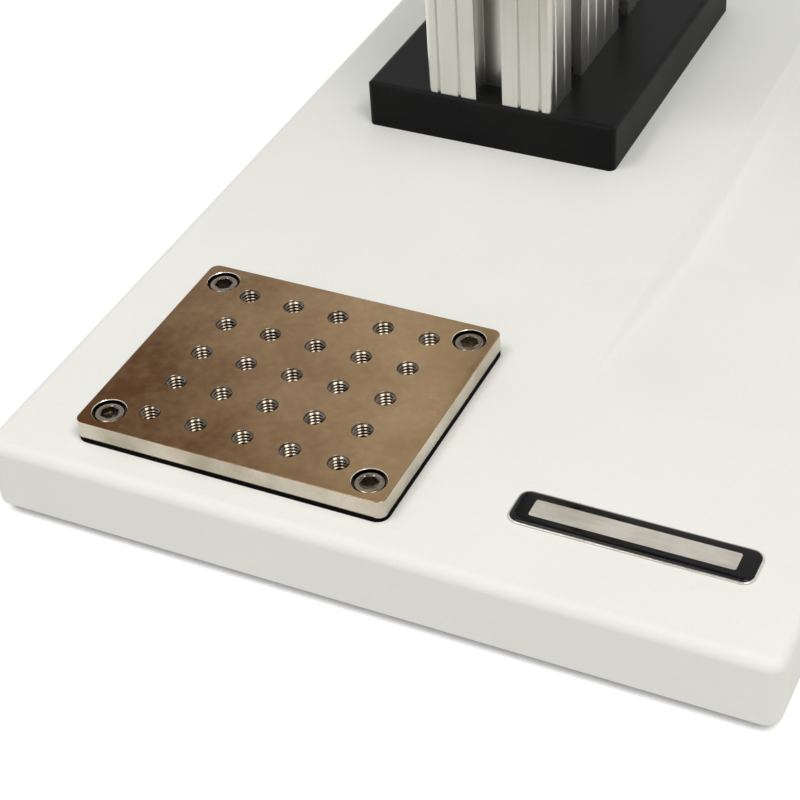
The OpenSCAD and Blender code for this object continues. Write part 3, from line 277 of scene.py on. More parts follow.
# %% mix the finishes
ALONG_X, ALONG_Z = (0.12, 1, 1), (1, 1, 0.02)
finishes = {
    "white_paint": finish("white_paint", (0.785, 0.785, 0.745), (0.82, 0.82, 0.78), (0.5, 0.62),
                          specular=0.3, fine=1100, bump=0.22, bump_depth=0.00006, patch=9),
    "rubber": finish("rubber", (0.02, 0.02, 0.02), (0.04, 0.04, 0.039), (0.65, 0.85),
                     fine=1500, bump=0.4, bump_depth=0.0001, specular=0.3),
    # The plate's slope vector paints a lamp's reflection, lighter towards +X and +Y.
    "steel_plate": finish("steel_plate", (0.092, 0.04, 0.012), (0.385, 0.262, 0.146), (0.2, 0.3),
                          metallic=1, patch=45, fine=420, bump=0.1, bump_depth=0.00002,
                          mottle=0.26, sheen_slope=(2.7, 1.8, 0)),
    "pad": finish("pad", (0.001, 0.001, 0.001), (0.003, 0.003, 0.003), (0.6, 0.8), fine=1500,
                  specular=0.03),
    "screw_steel": finish("screw_steel", (0.12, 0.098, 0.075), (0.26, 0.225, 0.18), (0.12, 0.26),
                          metallic=1, patch=160, fine=1800, bump=0.12, edge=0.0003, mottle=0.4),
    "dark_screw": finish("dark_screw", (0.02, 0.02, 0.021), (0.055, 0.055, 0.055), (0.3, 0.45),
                         metallic=0.5, patch=150, fine=2000, edge=0.0003, specular=0.3),
    "name_plate": finish("name_plate", (0.003, 0.003, 0.0035), (0.007, 0.007, 0.007), (0.03, 0.07),
                         patch=60, fine=1200, bump=0.03, specular=0.16),
    "black_block": finish("black_block", (0.006, 0.006, 0.0065), (0.010, 0.010, 0.010),
                          (0.36, 0.46), patch=24, fine=1600, bump=0.12, edge=0.0012,
                          specular=0.06),
    "black_anodised": finish("black_anodised", (0.007, 0.007, 0.008), (0.016, 0.016, 0.017),
                             (0.32, 0.46), patch=20, fine=1500, stretch=ALONG_Z, bump=0.2,
                             bump_depth=0.00003, edge=0.0007, specular=0.3),
    "extrusion": finish("extrusion", (0.63, 0.62, 0.57), (0.78, 0.77, 0.72), (0.26, 0.36),
                        metallic=1, patch=18, fine=900, stretch=ALONG_Z, bump=0.16,
                        bump_depth=0.00002, edge=0.0002, mottle=0.5),
    "black_plastic": finish("black_plastic", (0.010, 0.010, 0.010), (0.018, 0.018, 0.018),
                            (0.42, 0.56), fine=1800, bump=0.25, edge=0.0004, specular=0.35),
    "gear_steel": finish("gear_steel", (0.26, 0.25, 0.235), (0.42, 0.41, 0.39), (0.26, 0.42),
                         metallic=1, patch=60, fine=1100, stretch=ALONG_X, bump=0.2, edge=0.0001),
    "scale_white": finish("scale_white", (0.70, 0.70, 0.67), (0.78, 0.78, 0.75), (0.4, 0.5),
                          fine=1800, bump=0.05),
    "pointer_red": finish("pointer_red", (0.45, 0.012, 0.01), (0.60, 0.022, 0.016), (0.3, 0.42),
                          patch=90, fine=1600, edge=0.0002),
    "bronze": finish("bronze", (0.42, 0.25, 0.10), (0.60, 0.40, 0.20), (0.3, 0.5), metallic=1,
                     patch=140, fine=1700, bump=0.25),
    "nylon": finish("nylon", (0.72, 0.72, 0.66), (0.82, 0.82, 0.76), (0.4, 0.55), fine=1500),
    "phenolic": finish("phenolic", (0.008, 0.008, 0.008), (0.014, 0.014, 0.014), (0.1, 0.2),
                       patch=45, fine=1300, bump=0.04, specular=0.4),
}
# A brighter copy of the plate's steel for its machined sides and seat chamfers, a painted
# reflection of bright surroundings beside the darker top.
milled_edge_sheen = finish("milled_edge_sheen", (0.46, 0.41, 0.33), (0.68, 0.63, 0.54), (0.16, 0.3), metallic=1,
                     patch=70, fine=1500, stretch=(1, 1, 8), bump=0.2, bump_depth=0.00002)
# A darker copy of the steel for hole walls, threads and screw sockets: painted shade for the inside
# of the hollows.
shaded_hollow_steel = finish("shaded_hollow_steel", (0.07, 0.055, 0.042), (0.19, 0.16, 0.125), (0.12, 0.22),
                    metallic=1, patch=300, fine=2000, bump=0.1)
bright_rim = finish("bright_rim", (0.50, 0.48, 0.44), (0.70, 0.68, 0.64), (0.1, 0.2), metallic=1,
                    patch=80, fine=1500, bump=0.05)
satin_bar = finish("satin_bar", (0.52, 0.48, 0.42), (0.70, 0.66, 0.59), (0.3, 0.42), metallic=1,
                   patch=60, fine=900, stretch=ALONG_X, bump=0.15)
print("finishes:", len(bpy.data.materials))

# %% [markdown]
# The record names a material slot for each CAD node, so one loop gives every node its finish.

# %% dress the CAD nodes
slot_of = {row["node"]: row["material_slot"] for row in frame["record"]["subparts"]}
for name, node in frame["nodes"].items():
    node.data.materials.clear()
    node.data.materials.append(finishes[slot_of[name]])
print("dressed", len(slot_of), "nodes")

# %% [markdown]
# ## Helpers for new pieces
#
# A new piece is shaped with bmesh operators, in its final place, and then turned into an object.
# Its edges are marked sharp above a set angle. A Weighted Normal modifier keeps large flat faces
# looking flat beside their small rounded edges.


# %% box, lathe and piece
def block(bm, low, high):
    """Adds a box between two corners and returns its vertices."""
    low, high = Vector(low), Vector(high)
    made = bmesh.ops.create_cube(bm, size=1)["verts"]
    bmesh.ops.scale(bm, vec=high - low, verts=made)
    bmesh.ops.translate(bm, vec=(low + high) / 2, verts=made)
    return made


def lathe(bm, profile, steps=64, place=Matrix(), shape=None):
    """Spins a (radius, height) profile in mm about Z, reshapes it and moves it to a place.

    The optional shape takes a radius, an angle and a height, and returns the new radius."""
    before = set(bm.verts)
    line = [bm.verts.new((radius * MM, 0, height * MM)) for radius, height in profile]
    edges = [bm.edges.new(pair) for pair in zip(line, line[1:])]
    bmesh.ops.spin(bm, geom=line + edges, cent=(0, 0, 0), axis=(0, 0, 1), dvec=(0, 0, 0),
                   angle=math.tau, steps=steps, use_merge=True)
    made = [v for v in bm.verts if v not in before]
    bmesh.ops.remove_doubles(bm, verts=made, dist=1e-7)
    made = [v for v in bm.verts if v not in before]
    for v in made:
        radius = v.co.xy.length / MM
        if shape and radius > 1e-3:
            v.co.xy *= shape(radius, math.atan2(v.co.y, v.co.x), v.co.z / MM) / radius
    bmesh.ops.transform(bm, matrix=place, verts=made)
    return made


def uprights(bm):
    """The edges that run straight up."""
    return [e for e in bm.edges if (e.verts[0].co.xy - e.verts[1].co.xy).length < 1e-6]


def soften(bm, edges, radius, segments=3):
    """Rounds the given edges."""
    bmesh.ops.bevel(bm, geom=edges, offset=radius, segments=segments, profile=0.5,
                    affect="EDGES", clamp_overlap=True, material=-1)


def piece(bm, name, body, slot, materials=(), stands_for=(), sharp=35):
    """Closes a bmesh into an object that rides on a body."""
    bmesh.ops.recalc_face_normals(bm, faces=bm.faces[:])
    mesh = bpy.data.meshes.new(name)
    bm.to_mesh(mesh)
    bm.free()
    mesh.shade_smooth()
    mesh.set_sharp_from_angle(angle=math.radians(sharp))
    for material in materials or [finishes[slot]]:
        mesh.materials.append(material)
    made = bpy.data.objects.new(name, mesh)
    scene.collection.objects.link(made)
    even = made.modifiers.new("even_shading", "WEIGHTED_NORMAL")
    even.keep_sharp = True
    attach(made, body)
    if stands_for:
        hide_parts(*stands_for)
    print(name, "has", len(mesh.polygons), "faces")
    return made


# %% [markdown]
# ## The base
#
# The base is an iron casting with a thick powder coat, so all its edges are soft. A box is bevelled
# at the upright corners and again round the top, and its foot is drawn in a little for the draft
# that lets a casting leave its mould. A second box becomes the pit underneath: the faces that look
# down are taken out of both, and one fill joins their edges into the rim. On the right is a shallow
# hollow that leaves room for the fingers on the hand wheel. Planes cut the box where the hollow
# begins and ends, and the vertices between them are pressed down.

# %% cast the base
base_low, base_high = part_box("base")
base_bm = bmesh.new()
block(base_bm, base_low, base_high)
CORNER_R, EDGE_R = 4 * MM, 3 * MM
soften(base_bm, uprights(base_bm), CORNER_R, 8)
soften(base_bm, [e for e in base_bm.edges if min(v.co.z for v in e.verts) > base_high.z - 1e-6],
       EDGE_R, 8)
base_mid = (base_low + base_high) / 2
base_size = base_high - base_low
DRAFT, FOOT_EDGE = 0.4 * MM, 0.5 * MM
bmesh.ops.scale(base_bm, vec=(1 - 2 * DRAFT / base_size.x, 1 - 2 * DRAFT / base_size.y, 1),
                space=Matrix.Translation(-base_mid),
                verts=[v for v in base_bm.verts if v.co.z < base_low.z + 1e-6])
soften(base_bm, [e for e in base_bm.edges if max(v.co.z for v in e.verts) < base_low.z + 1e-6],
       FOOT_EDGE, 3)


def open_below():
    """Takes out the widest face that looks down, and returns its edges."""
    widest = max((f for f in base_bm.faces if f.normal.z < -0.9), key=lambda f: f.calc_area())
    edges = list(widest.edges)
    bmesh.ops.delete(base_bm, geom=[widest], context="FACES_ONLY")
    return edges


RIM, SKIN, PIT_CORNER = 9 * MM, 9 * MM, 5 * MM
PIT = base_size.z - SKIN
outline = open_below()
pit = block(base_bm, base_low + Vector((RIM, RIM, 0)),
            (base_high.x - RIM, base_high.y - RIM, base_low.z + PIT))
soften(base_bm, [e for e in uprights(base_bm) if e.verts[0] in pit], PIT_CORNER, 6)
outline += open_below()
bmesh.ops.triangle_fill(base_bm, use_beauty=True, use_dissolve=False, edges=outline,
                        normal=(0, 0, -1))
print("base shell faces:", len(base_bm.faces))

# %% [markdown]
# The hollow starts at the operator's end as a long ramp, runs level past the wheel and climbs again
# near the back. Its left wall leans, so the wall grows wider as the hollow grows deeper. The depth
# of a point is the lesser of the ramp's depth and the wall's, and the crease between them is eased
# a little, as thick paint does.

# %% press the hand clearance
HOLLOW_LEFT, HOLLOW_DEPTH = 65.5 * MM, 4.2 * MM
HOLLOW_STATIONS = [29 * MM, 95 * MM, 201 * MM, 237 * MM]
WALL_SLOPE, CREASE = 1, 0.7 * MM


def pressed(point):
    """How far a point of the top is pressed down."""
    start, level, rise, end = HOLLOW_STATIONS
    ramp = HOLLOW_DEPTH * min((point.y - start) / (level - start), 1,
                              (end - point.y) / (end - rise))
    wall = (point.x - HOLLOW_LEFT) * WALL_SLOPE
    easing = max(0, CREASE - abs(ramp - wall)) ** 2 / CREASE / 4
    return max(0, min(ramp, wall) - easing)


FINE_STEP, LONG_STEP = 0.4 * MM, 5.2 * MM
cuts = [Vector((HOLLOW_LEFT + k * FINE_STEP, 0, 0)) for k in range(14)]
cuts += [Vector((0, y + k * MM, 0)) for y in HOLLOW_STATIONS for k in (-1, 0, 1, 2)]
cuts += [Vector((0, HOLLOW_STATIONS[0] + k * LONG_STEP, 0)) for k in range(1, 40)]
for cut in cuts:
    everything = base_bm.verts[:] + base_bm.edges[:] + base_bm.faces[:]
    bmesh.ops.bisect_plane(base_bm, geom=everything, dist=1e-7, plane_co=cut,
                           plane_no=(1, 0, 0) if cut.x else (0, 1, 0))
for v in base_bm.verts:
    if v.co.z > base_high.z - EDGE_R - 1e-5:
        v.co.z -= pressed(v.co)
print("pressed to", HOLLOW_DEPTH / MM, "mm with", len(cuts), "cuts")

# %% [markdown]
# Underneath, ribs stiffen the thin skin, and round bosses take the screws and the rubber feet. They
# are closed shapes of their own that run into the casting's walls. No two of them end at the same
# height, because faces that lie in one plane would flicker.

# %% rib the underside
INSIDE, RIB_HALF = 8 * MM, 2.5 * MM
ceiling = base_low.z + PIT + 0.5 * MM
rib_foot = base_low.z + 0.2 * MM
for share in (1 / 3, 2 / 3):
    x = base_low.x + share * base_size.x
    block(base_bm, (x - RIB_HALF, base_low.y + INSIDE, rib_foot),
          (x + RIB_HALF, base_high.y - INSIDE, ceiling))
for k in range(1, 5):
    y = base_low.y + k / 5 * base_size.y
    block(base_bm, (base_low.x + INSIDE, y - RIB_HALF, rib_foot + 0.15 * MM),
          (base_high.x - INSIDE, y + RIB_HALF, ceiling))


def boss(x, y, outer, seat_r, seat_depth, bore_r):
    """A round boss under the skin, with a seat sunk into its foot and a bore above that."""
    depth = (ceiling - base_low.z) / MM
    lathe(base_bm, [(bore_r, depth), (bore_r, seat_depth), (seat_r, seat_depth), (seat_r, 0),
                    (outer - 0.6, 0), (outer, 0.6), (outer, depth), (bore_r, depth)], 40,
          Matrix.Translation((x, y, base_low.z + 0.1 * MM)))


feet_low, feet_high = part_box("rubber_feet")
FOOT_R = 9 * MM
foot_centres = [(x, y) for x in (feet_low.x + FOOT_R, feet_high.x - FOOT_R)
                for y in (feet_low.y + FOOT_R, feet_high.y - FOOT_R)]
for x, y in foot_centres:
    boss(x, y, 13, 9.05, 2, 2.1)
bolt_low, bolt_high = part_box("foot_bolts")
BOLT_HEAD_R = 5 * MM
bolt_centres = [(x, y) for x in (bolt_low.x + BOLT_HEAD_R, bolt_high.x - BOLT_HEAD_R)
                for y in (bolt_low.y + BOLT_HEAD_R, bolt_high.y - BOLT_HEAD_R)]
for x, y in bolt_centres:
    boss(x, y, 9.5, 5.5, 6.5, 3.25)
foot_low, foot_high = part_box("column_foot")
block(base_bm, (foot_low.x, foot_low.y, base_low.z + 7.5 * MM), (foot_high.x, foot_high.y, ceiling))
piece(base_bm, "base_casting", "stand", "white_paint", stands_for=["base"], sharp=50)

# %% [markdown]
# ## The specimen plate
#
# The plate is a slab of ground steel, drilled and tapped on a half inch grid. The slab is a
# bevelled box whose top and bottom faces are taken out. Each hole is a circle that is extruded down
# in steps, and one fill closes the face between the rim and all the circles. The fill leaves the
# holes open.


# %% drill the plate
def drill(bm, x, y, rings, sides=32):
    """Extrudes a hole's wall through (radius, height) rings in mm. Returns its two open ends."""
    radius, height = rings[0]
    mouth = bmesh.ops.create_circle(bm, cap_ends=False, segments=sides, radius=radius * MM,
                                    matrix=Matrix.Translation((x, y, height * MM)))["verts"]
    first = list({e for v in mouth for e in v.link_edges})
    last = first
    for (r0, z0), (r1, z1) in zip(rings, rings[1:]):
        grown = bmesh.ops.extrude_edge_only(bm, edges=last)["geom"]
        ring = [g for g in grown if isinstance(g, bmesh.types.BMVert)]
        bmesh.ops.scale(bm, vec=(r1 / r0, r1 / r0, 1), space=Matrix.Translation((-x, -y, 0)),
                        verts=ring)
        bmesh.ops.translate(bm, vec=(0, 0, (z1 - z0) * MM), verts=ring)
        among = set(ring)
        last = [g for g in grown if isinstance(g, bmesh.types.BMEdge) and set(g.verts) <= among]
    return first, last


plate_low, plate_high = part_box("grid_plate")
plate_t = (plate_high.z - plate_low.z) / MM
plate_bm = bmesh.new()
block(plate_bm, plate_low, plate_high)
PLATE_CORNER, PLATE_EDGE = 2.4 * MM, 0.3 * MM
soften(plate_bm, uprights(plate_bm), PLATE_CORNER, 8)
soften(plate_bm, [e for e in plate_bm.edges
                  if min(v.co.z for v in e.verts) > plate_high.z - 1e-6], PLATE_EDGE, 3)
caps = sorted((f for f in plate_bm.faces if abs(f.normal.z) > 0.99), key=lambda f: f.normal.z)
bottom_edges, top_edges = list(caps[0].edges), list(caps[1].edges)
bmesh.ops.delete(plate_bm, geom=caps, context="FACES_ONLY")
PITCH = 12.7 * MM
hole_centres = [(i * PITCH, j * PITCH) for i in range(-2, 3) for j in range(-2, 3)]
screw_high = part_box("plate_screws")[1]
HEAD_R = 4 * MM
plate_screw_centres = [(sx * (screw_high.x - HEAD_R), sy * (screw_high.y - HEAD_R))
                       for sx in (-1, 1) for sy in (-1, 1)]
HOLE_RINGS = [(2.74, 0), (2.62, -0.1), (2.56, -0.2), (2.56, -plate_t)]
SEAT_RINGS = [(4.4, 0), (4.26, -0.14), (4.26, -3.3), (2.6, -3.3), (2.6, -plate_t)]
for x, y in hole_centres:
    mouth, foot = drill(plate_bm, x, y, HOLE_RINGS)
    top_edges += mouth
    bottom_edges += foot
for x, y in plate_screw_centres:
    mouth, foot = drill(plate_bm, x, y, SEAT_RINGS, 48)
    top_edges += mouth
    bottom_edges += foot
for edges, up in ((top_edges, 1), (bottom_edges, -1)):
    bmesh.ops.triangle_fill(plate_bm, use_beauty=True, use_dissolve=False, edges=edges,
                            normal=(0, 0, up))
print("drilled", len(hole_centres), "holes; plate faces:", len(plate_bm.faces))

# %% [markdown]
# A tapped hole is a helix, and the threads can be seen in every hole of the plate. A small triangle
# is spun several turns while it sinks by one pitch a turn, which is what a tap does to the steel.

# %% cut the threads
def thread(bm, places, root_r, crest_r, pitch, start, turns, steps=22):
    """Winds a thread's ridge down the Z axis, all in mm, and lays a copy of it at each place."""
    coil = bmesh.new()
    ridge = [(root_r, start), (crest_r, start - pitch * 0.36), (root_r, start - pitch * 0.72)]
    first = coil.faces.new([coil.verts.new((r * MM, 0, z * MM)) for r, z in ridge])
    bmesh.ops.spin(coil, geom=[first], cent=(0, 0, 0), axis=(0, 0, 1),
                   dvec=(0, 0, -pitch * MM / steps),
                   angle=math.tau * int(turns * steps) / steps, steps=int(turns * steps),
                   use_merge=False)
    for place in places:
        carrier = bpy.data.meshes.new("carrier")
        coil.to_mesh(carrier)
        carrier.transform(place)
        bm.from_mesh(carrier)
        bpy.data.meshes.remove(carrier)
    coil.free()


ROOT_R, CREST_R, THREAD_PITCH, TOP_TURN, TURNS = 2.6, 2.14, 0.907, -0.15, 4.2
thread(plate_bm, [Matrix.Translation((x, y, 0)) for x, y in hole_centres],
       ROOT_R, CREST_R, THREAD_PITCH, TOP_TURN, TURNS)
# Each face takes one copy of the steel: the top the plate's steel, the outer sides and seat
# chamfers the brighter copy as painted reflection, and the hole and seat walls the darker copy as
# painted shade.
for f in plate_bm.faces:
    centre = f.calc_center_median()
    outer = abs(centre.x) > plate_high.x - MM or abs(centre.y) > plate_high.y - MM
    near_screw = min(abs(centre.x - x) + abs(centre.y - y) for x, y in plate_screw_centres) < 7 * MM
    if f.normal.z > 0.95 and centre.z > -0.3 * MM or outer and f.normal.z > 0.6:
        f.material_index = 0
    else:
        f.material_index = 1 if outer or near_screw and f.normal.z > 0.3 else 2
piece(plate_bm, "tapped_plate", "stand", "steel_plate",
      [finishes["steel_plate"], milled_edge_sheen, shaded_hollow_steel], ["grid_plate"], sharp=30)

# %% [markdown]
# ## The name plate
#
# The real stand has a black badge under a clear dome, with a thin bright rim. Here it stays blank:
# a rounded rectangle is raised for the rim, inset, and then crowned in small steps like poured
# resin. A plain satin bar shows where an owner may engrave the stand's number.

# %% pour the name plate
badge_low, badge_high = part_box("name_plate")
badge_bm = bmesh.new()
block(badge_bm, badge_low, Vector((badge_high.x, badge_high.y, badge_low.z + 0.45 * MM)))
BADGE_CORNER = 3.1 * MM
soften(badge_bm, uprights(badge_bm), BADGE_CORNER, 8)
crown = [f for f in badge_bm.faces if f.normal.z > 0.9]
bmesh.ops.inset_region(badge_bm, faces=crown, thickness=0.12 * MM, depth=0.1 * MM)
bmesh.ops.inset_region(badge_bm, faces=crown, thickness=0.33 * MM, depth=0)
rim_faces = set(badge_bm.faces) - set(crown)
for step, rise in ((0.05, 0.11), (0.13, 0.12), (0.2, 0.1), (0.3, 0.07), (0.4, 0.04), (0.5, 0.01)):
    bmesh.ops.inset_region(badge_bm, faces=crown, thickness=step * MM, depth=rise * MM)
for f in badge_bm.faces:
    f.material_index = 1 if f in rim_faces else 0
piece(badge_bm, "name_badge", "stand", "name_plate", [finishes["name_plate"], bright_rim],
      ["name_plate"], sharp=60)
bar_bm = bmesh.new()
badge_mid = (badge_low + badge_high) / 2
bar_half = Vector((24.5 * MM, 2.8 * MM, 0))
block(bar_bm, badge_mid - bar_half + Vector((0, 0, badge_high.z - badge_mid.z - 0.1 * MM)),
      badge_mid + bar_half + Vector((0, 0, badge_high.z - badge_mid.z + 0.02 * MM)))
soften(bar_bm, uprights(bar_bm), 0.6 * MM, 4)
piece(bar_bm, "blank_bar", "stand", "name_plate", [satin_bar])

# %% [markdown]
# ## The plate's screws
#
# Four socket screws hold the plate. A lathe makes each head, and a shape function turns the inner
# radius from round to hexagonal while the rest stays round. The socket gets a darker steel, painted
# shade for its depth.

# %% turn the plate screws
KEY_R, CAP_R = 2.4, 3.7


def hexagon(radius, angle, height):
    """Makes everything inside the key's corner radius six-sided."""
    if radius > KEY_R + 0.01 or height < -3:
        return radius
    within = math.fmod(angle + math.tau, math.radians(60)) - math.radians(30)
    return radius * math.cos(math.radians(30)) / math.cos(within)


cap_profile = [(0, -2.35), (KEY_R, -2.0), (KEY_R, -0.62), (2.55, -0.45), (3.2, -0.45), (3.4, -0.5),
               (3.6, -0.64), (CAP_R, -0.9), (CAP_R, -3.3), (2.45, -3.3), (2.45, -13.8), (0, -13.8)]
screws_bm = bmesh.new()
for x, y in plate_screw_centres:
    turned = Matrix.Translation((x, y, 0)) @ Matrix.Rotation(x * 9 + y * 31, 4, "Z")
    lathe(screws_bm, cap_profile, 48, turned, hexagon)
# The hex socket's faces take the darker steel, painted shade for the socket's depth.
for f in screws_bm.faces:
    centre = f.calc_center_median()
    reach = min(math.hypot(centre.x - x, centre.y - y) for x, y in plate_screw_centres) / MM
    if reach < KEY_R + 0.02 and -3 * MM < centre.z:
        f.material_index = 1
piece(screws_bm, "plate_caps", "stand", "screw_steel",
      [finishes["screw_steel"], shaded_hollow_steel], ["plate_screws"], sharp=25)

# %% [markdown]
# ## The hand wheel
#
# The wheel is moulded in black phenolic. Its rim is a torus and its hub a lathe profile. Each spoke
# is a loft through rounded sections that swell where they run into the hub and the rim, and that
# climb from the hub's back towards the plane of the rim. All of it is made about a vertical axis
# and then laid over, with the axis along the pinion shaft.

# %% mould the wheel
pinion_low, pinion_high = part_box("pinion")
shaft_mid = (pinion_low + pinion_high) / 2
wheel_low, wheel_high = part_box("hand_wheel")
WHEEL_R, RIM_R, HUB_R, CRANK_ANGLE = 68, 7.5, 14, 230
WHEEL_PLANE = wheel_high.x - (RIM_R + 1.2) * MM
on_wheel = (Matrix.Translation((WHEEL_PLANE, shaft_mid.y, shaft_mid.z))
            @ Matrix.Rotation(math.radians(90), 4, "Y"))
wheel_bm = bmesh.new()
rim_profile = [(WHEEL_R + RIM_R * math.cos(a), RIM_R * math.sin(a))
               for a in [math.tau * k / 36 for k in range(37)]]
lathe(wheel_bm, rim_profile, 120, on_wheel)
hub_back = (wheel_low.x - WHEEL_PLANE) / MM
hub_profile = [(6.05, 0), (11, 0), (11.7, 0.3), (12, 1), (HUB_R, 29.6), (HUB_R, 41.9),
               (13.75, 42.8), (13.2, 43.35), (12.4, 43.6), (2.8, 43.6), (2.8, 42), (6.05, 41.6),
               (6.05, 0)]
lathe(wheel_bm, [(radius, height + hub_back) for radius, height in hub_profile], 64, on_wheel)


def spoke_section(reach):
    """The ring of points of a spoke at a distance from the axis, all in mm."""
    along = (reach - 11) / 56
    swell = 2.2 * max(0, 1 - (reach - 12) / 9) ** 2 + 2.6 * max(0, 1 - (62 - reach) / 8) ** 2
    half_width = 8.5 - 3 * along + swell - 0.6 * math.sin(math.pi * along)
    half_depth = 4 - 0.5 * along + swell * 0.25
    middle = -5 * (1 - along)
    ring = []
    for k in range(24):
        across, up = math.cos(math.tau * k / 24), math.sin(math.tau * k / 24)
        ring.append((reach, half_width * math.copysign(abs(across) ** 0.72, across),
                     middle + half_depth * math.copysign(abs(up) ** 0.72, up)))
    return ring


for k in range(3):
    spin = on_wheel @ Matrix.Rotation(math.radians(CRANK_ANGLE + 120 * k), 4, "Z")
    last = []
    for reach in (10, 12, 14, 16, 18.5, 21, 25, 30, 36, 42, 48, 53, 56, 58.5, 60.5, 62.5, 66):
        ring = [wheel_bm.verts.new(spin @ (Vector(point) * MM)) for point in spoke_section(reach)]
        edges = [wheel_bm.edges.new((ring[i - 1], ring[i])) for i in range(24)]
        if last:
            bmesh.ops.bridge_loops(wheel_bm, edges=last + edges)
        else:
            wheel_bm.faces.new(ring)
        last = edges
    wheel_bm.faces.new(ring)
crank_spot = on_wheel @ Matrix.Rotation(math.radians(CRANK_ANGLE), 4, "Z") @ Matrix.Translation(
    (WHEEL_R * MM, 0, 0))
boss_profile = [(0, 0), (8, 0), (8, 7.9), (7.75, 8.45), (7.2, 8.7), (0, 8.7)]
lathe(wheel_bm, boss_profile, 48, crank_spot)
piece(wheel_bm, "moulded_wheel", "wheel", "phenolic", stands_for=["hand_wheel"])

# %% [markdown]
# ## The crank handle
#
# The handle swells once between its two ends, as turned handles do, and spins on a shoulder bolt
# whose head is sunk into its end.

# %% turn the handle
handle_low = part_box("crank_handle")[0]
HANDLE_R, HANDLE_LEN = 10.5, 50
handle_profile = [(3.08, 0), (7.2, 0), (7.56, 0.35)]
for k in range(31):
    swell = HANDLE_R * (0.74 + 0.26 * math.sin(math.pi * (k / 30) ** 1.3))
    handle_profile.append((swell, 1.5 + (HANDLE_LEN - 5) * k / 30))
handle_profile += [(7.55, 47.3), (7.2, 48.3), (6.6, 49.2), (5.9, 49.8), (5.3, 50), (5.15, 49.9),
                   (5.15, 45), (3.08, 45), (3.08, 0)]
handle_bm = bmesh.new()
handle_spot = crank_spot.copy()
handle_spot.translation.x = handle_low.x
lathe(handle_bm, handle_profile, 72, handle_spot)
piece(handle_bm, "turned_handle", "handle", "phenolic",
      stands_for=["crank_handle"], sharp=50)

# %% [markdown]
# ## Knurled screws
#
# Four screws hold the gauge and two hold the travel stops. All are turned by hand, so their heads
# are knurled: the lathe takes many steps, and the shape function cuts a groove between every pair.
# The shanks that can be seen get a real thread from the helper that cut the plate's holes.


# %% knurl the thumb screws
def knurled_screw(node, body, towards, head_r, head_t, shank_r, thread_len, teeth):
    """Makes a screw in a node's box. Its head points along a world axis, +1 or -1 times X or Y."""
    low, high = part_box(node)
    middle = (low + high) / 2
    axis, sign = towards
    head_end = (high if sign > 0 else low)[axis]
    seat = middle.copy()
    seat[axis] = head_end - sign * head_t * MM
    turn = Vector((0, 0, 1)).rotation_difference(
        Vector([sign if k == axis else 0 for k in range(3)])).to_matrix().to_4x4()
    place = Matrix.Translation(seat) @ turn
    shank = (high[axis] - low[axis]) / MM - head_t

    def grooves(radius, angle, height):
        if radius < head_r - 0.3 or height < 0.5:
            return radius
        return radius - 0.35 * (0.5 + 0.5 * math.cos(angle * teeth)) ** 2

    core = shank_r - 0.3
    bm = bmesh.new()
    lathe(bm, [(0, -shank), (core - 0.4, -shank), (core, 0.5 - shank), (core, thread_len - shank),
               (shank_r, thread_len - shank + 0.3), (shank_r, 0), (head_r - 1.1, 0),
               (head_r - 0.5, 0.4),
               (head_r, 0.9), (head_r, head_t - 1.5), (head_r - 0.4, head_t - 0.9),
               (head_r - 1.3, head_t - 0.6), (head_r - 1.5, head_t - 0.1), (head_r - 1.8, head_t),
               (head_r - 2.4, head_t), (head_r - 2.7, head_t - 0.35), (0, head_t - 0.35)],
          teeth * 4, place, grooves)
    thread(bm, [place], core - 0.02, shank_r, 0.8, thread_len - shank, thread_len / 0.8 - 0.8)
    return piece(bm, node + "_turned", body, slot_of[node], stands_for=[node], sharp=28)


for k in range(1, 5):
    knurled_screw(f"thumb_screw_{k}", f"thumb_screw_{k}", (1, 1), 6.5, 9, 2.4, 7.5, 30)
for name in ("lower_stop_screw", "upper_stop_screw"):
    knurled_screw(name, name, (0, 1), 8, 10, 2.5, 4, 36)

# %% [markdown]
# ## The lock knob
#
# Seven scallops give the fingers a grip. The knob is a lathe profile again, and the shape function
# finds how far a ray at an angle gets before it meets a scallop's circle. The scallops fade out
# towards the knob's middle, so that its face stays round.

# %% mould the lock knob
knob_low, knob_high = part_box("lock_knob")
LOCK_R, SCALLOPS, SCALLOP_R, SCALLOP_AT = 17, 7, 6, 20


def scalloped(radius, angle, height):
    """Pulls the knob's outer radius in where a scallop lies."""
    if height < 3 or radius < 9:
        return radius
    off = math.remainder(angle, math.tau / SCALLOPS)
    inside = SCALLOP_R ** 2 - (SCALLOP_AT * math.sin(off)) ** 2
    reach = SCALLOP_AT * math.cos(off) - math.sqrt(inside) if inside > 0 else LOCK_R + 2
    gap = reach - LOCK_R
    eased = LOCK_R + (gap - math.sqrt(gap * gap + 0.6)) / 2
    fade = min(1, (radius - 9) / 5)
    return radius * (1 - fade * (1 - eased / LOCK_R))


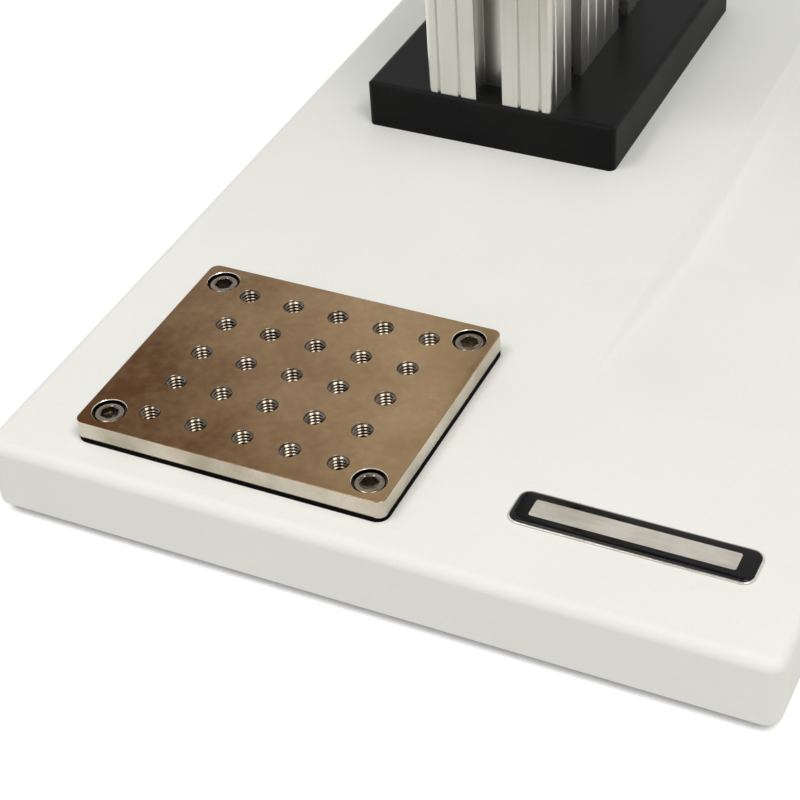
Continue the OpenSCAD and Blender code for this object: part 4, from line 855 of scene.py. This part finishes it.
knob_profile = [(0, 10.9), (4.05, 10.9), (4.05, 0), (8.2, 0), (8.5, 0.3), (8.5, 3.05), (9.2, 3.3),
                (13, 3.3), (15.6, 3.5), (16.6, 4.1), (LOCK_R, 5.2), (LOCK_R, 12.6), (16.7, 13.7),
                (15.9, 14.6), (14.6, 15), (12.5, 15), (9, 14.7), (5, 14.5), (0, 14.4)]
knob_bm = bmesh.new()
lathe(knob_bm, knob_profile, SCALLOPS * 18,
      Matrix.Translation((knob_high.x, (knob_low.y + knob_high.y) / 2, shaft_mid.z))
      @ Matrix.Rotation(math.radians(-90), 4, "Y"), scalloped)
piece(knob_bm, "moulded_knob", "lock", "black_plastic", stands_for=["lock_knob"])

# %% [markdown]
# ## The scale
#
# The travel scale keeps its CAD strip. Its millimetre marks are drawn by the shader: a ping-pong of
# the height gives the distance to the nearest multiple of a step, and the marks of a longer step
# reach further across the strip.

# %% rule the scale
strip_low, strip_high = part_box("scale_strip")
ruled = finishes["scale_white"]
rule_nodes, rule_links = ruled.node_tree.nodes, ruled.node_tree.links


def compute(operation, *values):
    """Adds a Math node whose inputs are numbers or sockets, and returns its output."""
    node = rule_nodes.new("ShaderNodeMath")
    node.operation = operation
    for socket, value in zip(node.inputs, values):
        if isinstance(value, (int, float)):
            socket.default_value = value
        else:
            rule_links.new(value, socket)
    return node.outputs[0]


split = rule_nodes.new("ShaderNodeSeparateXYZ")
rule_links.new(rule_nodes["Texture Coordinate"].outputs["Object"], split.inputs[0])
height = compute("MULTIPLY", compute("SUBTRACT", split.outputs["Z"], strip_low.z), 1000)
across = compute("MULTIPLY", compute("SUBTRACT", split.outputs["Y"], strip_low.y), 1000)
marks = 0.0
for step, length, width in ((1, 3.5, 0.16), (5, 5, 0.2), (10, 7, 0.26)):
    near = compute("LESS_THAN", compute("PINGPONG", height, step / 2), width / 2)
    within = compute("LESS_THAN", across, length)
    marks = compute("MAXIMUM", marks, compute("MULTIPLY", near, within))
inked = rule_nodes.new("ShaderNodeMix")
inked.data_type = "RGBA"
rule_links.new(marks, inked.inputs["Factor"])
paint_socket = rule_nodes["Principled BSDF"].inputs["Base Color"]
rule_links.new(paint_socket.links[0].from_socket, inked.inputs[6])
inked.inputs[7].default_value = (0.015, 0.015, 0.015, 1)
rule_links.new(inked.outputs[2], paint_socket)
print("scale ruled over", round((strip_high.z - strip_low.z) / MM, 1), "mm")
